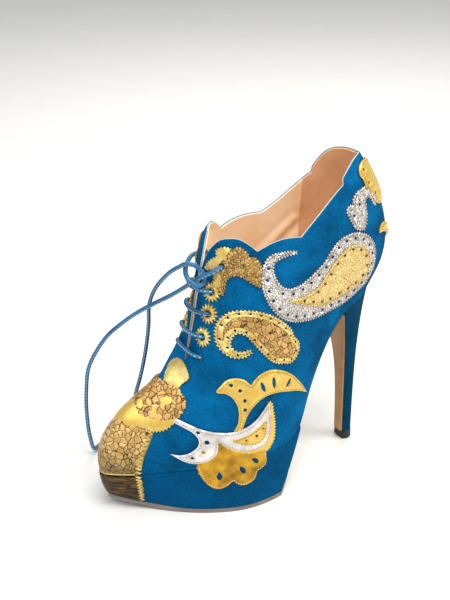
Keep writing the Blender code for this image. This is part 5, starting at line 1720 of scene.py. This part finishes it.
def behind(row, side, next_row, next_side):
    """The lace in through one eyelet, behind the suede and out through the next."""
    return [in_eyelet(row, side, LACE_MOUTH), in_eyelet(row, side, LACE_INSIDE),
            in_eyelet(next_row, next_side, LACE_INSIDE), in_eyelet(next_row, next_side, LACE_MOUTH)]


def build_lacing():
    """The lace through its eyelets: bars over the slit, and the runs behind it."""
    route = behind(0, -1, 4, 1)
    for row, side in ((4, 1), (3, -1), (2, 1), (1, -1)):
        route += bar_route(row)[::side] + behind(row, -side, row - 1, -side)
    lace = roll_lace("lacing", curve(route, FINE_STEP), 12, (1, 0, 0))
    belong(lace, "lace_leather", *[f"lace_bar_{row}" for row in (2, 3, 4, 5)])


STRIPS = 11
TASSEL_NECK = 5.6
TASSEL_LENGTH = 24.0
STRIP_WIDTH, STRIP_THICK = 1.7, 0.55
BINDING_TURNS, BINDING_STEP = 5, 1.05
BINDING_RADIUS, BINDING_THICK = 2.15, 1.1
STRIP_FLOOR, BINDING_FLOOR = 0.9, 0.75  # lowest middle of a strip and of the binding


def build_tassel(name, points):
    """Cut lace leather bound in a bunch, its strips spread on the floor."""
    end = np.array(points[-1], float)
    ahead = end - np.array(points[-2], float)
    ahead = unit(np.array([ahead[0], ahead[1], 0]))
    right = np.array([ahead[1], -ahead[0], 0])
    rise = np.array([0, 0, 1.0])
    shapes = []
    for k in range(STRIPS):
        fan_out = 2 * (k + 0.5) / STRIPS - 1
        level = (k * 7 % STRIPS) / STRIPS
        reach = TASSEL_LENGTH + 2.2 * math.sin(5.1 * k)
        t = np.linspace(0, 1, 26)
        loose = smooth((t * reach - TASSEL_NECK) / 9)
        aside = fan_out * (1.3 + 3.3 * loose + 0.9 * loose * np.sin(4 * t + k))
        up = end[2] + 0.9 * (level - 0.4) + loose * (0.9 + 2.3 * level - end[2])
        up = np.maximum(up + 0.5 * loose * np.sin(7 * t + 1.7 * k), STRIP_FLOOR)
        route = end + (0.4 + t * reach)[:, None] * ahead + aside[:, None] * right
        route[:, 2] = up
        shapes.append(tube(route, STRIP_WIDTH, STRIP_THICK, 8, rise))
    turn = turns(40)[:, None]
    for k in range(BINDING_TURNS):
        middle = end + (0.9 + BINDING_STEP * k) * ahead
        ring = middle + BINDING_RADIUS * (np.cos(turn) * right + np.sin(turn) * rise)
        ring[:, 2] = np.maximum(ring[:, 2], BINDING_FLOOR)
        shapes.append(tube(ring, BINDING_THICK, BINDING_THICK, 8, ahead, closed=True))
    return make_piece(name + "_strips", joined(shapes), ["lace leather, cut in strips"], "lace_leather", name)


def build_tail(label, side, points):
    """One free end of the lace with its tassel."""
    line = curve([in_eyelet(0, side, LACE_MOUTH)] + points[1:], FINE_STEP)
    name = f"lace_tail_{label}"
    tail = roll_lace(name + "_cord", line, 14)
    belong(tail, "lace_leather", name)
    tassel = build_tassel(f"tassel_{label}", points)


# Stitching

def stitch_nodes():
    """Node tree that sews along a line: short rounded stitches at even steps."""
    tree = bpy.data.node_groups.new("sewn_line", "GeometryNodeTree")
    face = tree.interface
    face.new_socket("Line", in_out="INPUT", socket_type="NodeSocketGeometry")
    for name in ("Spacing", "Length", "Width"):
        face.new_socket(name, in_out="INPUT", socket_type="NodeSocketFloat")
    face.new_socket("Thread", in_out="INPUT", socket_type="NodeSocketMaterial")
    face.new_socket("Stitches", in_out="OUTPUT", socket_type="NodeSocketGeometry")
    add = partial(add_node, tree)
    given = add("NodeGroupInput").outputs
    line = add("GeometryNodeMeshToCurve", {"Mesh": given["Line"]})
    steps = add("GeometryNodeCurveToPoints", {
        "Curve": line.outputs[0], "Length": given["Spacing"]}, mode="LENGTH")
    turn = add("FunctionNodeAlignRotationToVector", {"Vector": steps.outputs["Tangent"]}, axis="Z")
    form = add("GeometryNodeMeshUVSphere", {"Segments": 8, "Rings": 6, "Radius": 0.5})
    scale = add("ShaderNodeCombineXYZ", {"X": given["Width"], "Y": given["Width"], "Z": given["Length"]})
    sewn = add("GeometryNodeInstanceOnPoints", {
        "Points": steps.outputs["Points"], "Instance": form.outputs["Mesh"],
        "Rotation": turn.outputs[0], "Scale": scale.outputs[0]})
    real = add("GeometryNodeRealizeInstances", {"Geometry": sewn.outputs[0]})
    thread = add("GeometryNodeSetMaterial", {"Geometry": real.outputs[0], "Material": given["Thread"]})
    add("NodeGroupOutput", {"Stitches": thread.outputs[0]})
    return tree


def sew(name, runs, thread, slot):
    """Stitches along runs of points."""
    tree = bpy.data.node_groups.get("sewn_line") or stitch_nodes()
    points = np.concatenate(runs) * MM + SHIFT
    edges, start = [], 0
    for run in runs:
        edges += [(start + k, start + k + 1) for k in range(len(run) - 1)]
        start += len(run)
    mesh = bpy.data.meshes.new(name)
    mesh.from_pydata(points.tolist(), edges, [])
    obj = add_object(name, mesh)
    sewing = obj.modifiers.new("sewing", "NODES")
    sewing.node_group = tree
    values = {"Spacing": size("stitch_spacing") * MM, "Length": size("stitch_length") * MM,
              "Width": size("stitch_width") * MM, "Thread": finish(thread)}
    for item in tree.interface.items_tree:
        if item.in_out == "INPUT" and item.name in values:
            sewing[item.identifier] = values[item.name]
    settle(obj)
    obj.data.shade_smooth()
    belong(obj, slot)


# Stage

CAMERA_PLACE = (380.1, 539.7, 411.3)  # in millimetres, as the design functions count
CAMERA_TURN = 151.69  # degrees round the shoe, from square on its inner side
CAMERA_RISE = 25.31
CAMERA_ROLL = -0.38
LENS = 67.93  # millimetres on a 36 mm frame, along the picture's long side
SENSOR = 36.0
SHOE_MIDDLE = Vector((0.0, 0.0, 0.08))
FLOOR_REACH = 6.0  # metres
FLOOR_MOTTLE = 30
# Soft boxes: place in metres, watts, width, tone
LAMPS = {
    "key": ((-0.85, 0.62, 1.05), 12, 0.8, "#fffaf2"),
    "fill": ((0.8, 0.45, 0.85), 6, 0.9, "#f4f7ff"),
    "top": ((0.05, 0.4, 1.25), 9, 0.6, "#fffdf8"),
    "rim": ((-0.5, -0.7, 0.9), 5, 0.7, "#ffffff"),
}


def build_camera():
    """A camera that stands where the photograph was taken from."""
    turn, rise = math.radians(CAMERA_TURN), math.radians(CAMERA_RISE)
    back = Vector((math.sin(turn) * math.cos(rise), -math.cos(turn) * math.cos(rise), math.sin(rise)))
    right = Vector((0, 0, 1)).cross(back).normalized()
    up = back.cross(right)
    data = bpy.data.cameras.new("camera")
    data.lens = LENS
    data.sensor_width = SENSOR
    data.clip_start = 0.01
    camera = add_object("camera", data)
    aim = Matrix((right, up, back)).transposed().to_4x4()
    place = Matrix.Translation(Vector(np.array(CAMERA_PLACE) * MM + SHIFT))
    camera.matrix_world = place @ aim @ Matrix.Rotation(math.radians(CAMERA_ROLL), 4, "Z")
    bpy.context.scene.camera = camera


def add_lamp(name, place, watts, width, tone):
    """A soft box that faces the shoe."""
    data = bpy.data.lights.new(name, "AREA")
    data.energy = watts
    data.size = width
    data.color = linear(tone)
    lamp = add_object(name, data)
    lamp.location = place
    lamp.rotation_euler = (Vector(place) - SHOE_MIDDLE).to_track_quat("Z", "Y").to_euler()


def build_floor():
    """A large pale sheet, painted matt, with the faint mottle of a roller."""
    material, add, where, shader = start_material("floor board, painted matt")
    mottle = add("ShaderNodeTexNoise", {"Vector": where, "Scale": per_metre(FLOOR_MOTTLE), "Detail": 4.0})
    paint = add("ShaderNodeMix", {
        0: mottle.outputs["Fac"], 6: tint("#e9e7e3"), 7: tint("#e3e0db")}, data_type="RGBA")
    feed(shader, {"Base Color": paint.outputs[2], "Roughness": 0.7})
    mesh = bpy.data.meshes.new("floor")
    corners = [(FLOOR_REACH * x, FLOOR_REACH * y, 0) for x, y in ((-1, -1), (1, -1), (1, 1), (-1, 1))]
    mesh.from_pydata(corners, [], [(0, 1, 2, 3)])
    mesh.materials.append(material)
    floor = add_object("floor", mesh)


def build_world():
    """Even light from a pale room."""
    world = bpy.data.worlds.new("studio")
    world.use_nodes = True
    feed(world.node_tree.nodes["Background"], {"Color": tint("#eef2f6"), "Strength": 0.6})
    bpy.context.scene.world = world
    bpy.context.scene.view_settings.view_transform = "Standard"


class SHOE_OT_stage(bpy.types.Operator):
    """Set the camera, the floor and the soft studio light"""

    bl_idname = "shoe.stage"
    bl_label = "Stage"

    def execute(self, context):
        build_camera()
        build_floor()
        build_world()
        for name, lamp in LAMPS.items():
            add_lamp(name, *lamp)
        return {"FINISHED"}


class SHOE_OT_lace_ends(bpy.types.Operator):
    """Lay the two free ends of the lace with their tassels"""

    bl_idname = "shoe.lace_ends"
    bl_label = "Lace ends"

    def execute(self, context):
        build_tail("outer", 1, OUTER_TAIL)
        build_tail("inner", -1, INNER_TAIL)
        return {"FINISHED"}


class SHOE_OT_upper(bpy.types.Operator):
    """Make the suede upper, its lining and the raw edge of its topline"""

    bl_idname = "shoe.upper"
    bl_label = "Upper"

    def execute(self, context):
        build_upper()
        build_lining()
        build_topline_edge()
        return {"FINISHED"}


class SHOE_OT_sole(bpy.types.Operator):
    """Cover the platform and lay outsole and insole"""

    bl_idname = "shoe.sole"
    bl_label = "Sole"

    def execute(self, context):
        build_platform()
        build_outsole()
        build_insole()
        return {"FINISHED"}


class SHOE_OT_heel(bpy.types.Operator):
    """Cover the heel, its breast and its top piece"""

    bl_idname = "shoe.heel"
    bl_label = "Heel"

    def execute(self, context):
        build_heel()
        build_heel_tip()
        build_breast_cover()
        return {"FINISHED"}


class SHOE_OT_toe(bpy.types.Operator):
    """Stretch the gold cap over the toe and the gold band round the platform's front"""

    bl_idname = "shoe.toe"
    bl_label = "Toe cap and band"

    def execute(self, context):
        build_toe_cap()
        build_toe_band()
        return {"FINISHED"}


class SHOE_OT_ornament(bpy.types.Operator):
    """Cut the paisleys and leaves and lay them on both sides"""

    bl_idname = "shoe.ornament"
    bl_label = "Ornament"

    def execute(self, context):
        for look in LOOKS:
            for label, side in look.sides:
                build_ornament(look, label, side)
        return {"FINISHED"}


class SHOE_OT_lacing(bpy.types.Operator):
    """Put stars round the eyelets and run the lace through them"""

    bl_idname = "shoe.lacing"
    bl_label = "Lacing"

    def execute(self, context):
        for row, eyelet in enumerate(EYELETS):
            for label, side in BOTH_SIDES if eyelet.sunburst else ():
                build_sunburst(row, label, side)
        build_lacing()
        return {"FINISHED"}


class SHOE_OT_stitching(bpy.types.Operator):
    """Sew the ornament down along its borders"""

    bl_idname = "shoe.stitching"
    bl_label = "Stitching"

    def execute(self, context):
        for thread, slot in THREAD_SLOTS.items():
            if not THREADS[thread]:
                raise RuntimeError("There is no ornament to sew down yet")
            sew(thread.replace(" ", "_"), THREADS[thread], thread, slot)
        return {"FINISHED"}


OPERATORS = (SHOE_OT_stage, SHOE_OT_lace_ends, SHOE_OT_upper, SHOE_OT_sole, SHOE_OT_heel, SHOE_OT_toe,
             SHOE_OT_ornament, SHOE_OT_lacing, SHOE_OT_stitching)


class SHOE_PT_panel(bpy.types.Panel):
    """The pieces of the shoe, in the order they are made"""

    bl_idname = "SHOE_PT_panel"
    bl_label = "Paisley Platform Shoe"
    bl_space_type = "VIEW_3D"
    bl_region_type = "UI"
    bl_category = "Shoe"

    def draw(self, context):
        for operator in OPERATORS:
            self.layout.operator(operator.bl_idname)


CLASSES = (ShoeSizes, ShoeColours, *OPERATORS, SHOE_PT_panel)


def register():
    for cls in CLASSES:
        bpy.utils.register_class(cls)
    bpy.types.Scene.shoe_sizes = PointerProperty(type=ShoeSizes)
    bpy.types.Scene.shoe_colours = PointerProperty(type=ShoeColours)


def unregister():
    del bpy.types.Scene.shoe_colours
    del bpy.types.Scene.shoe_sizes
    for cls in reversed(CLASSES):
        bpy.utils.unregister_class(cls)


def main():
    register()
    bpy.ops.shoe.stage()
    bpy.ops.shoe.lace_ends()
    bpy.ops.shoe.upper()
    bpy.ops.shoe.sole()
    bpy.ops.shoe.heel()
    bpy.ops.shoe.toe()
    bpy.ops.shoe.ornament()
    bpy.ops.shoe.lacing()
    bpy.ops.shoe.stitching()


if __name__ == "__main__":
    main()
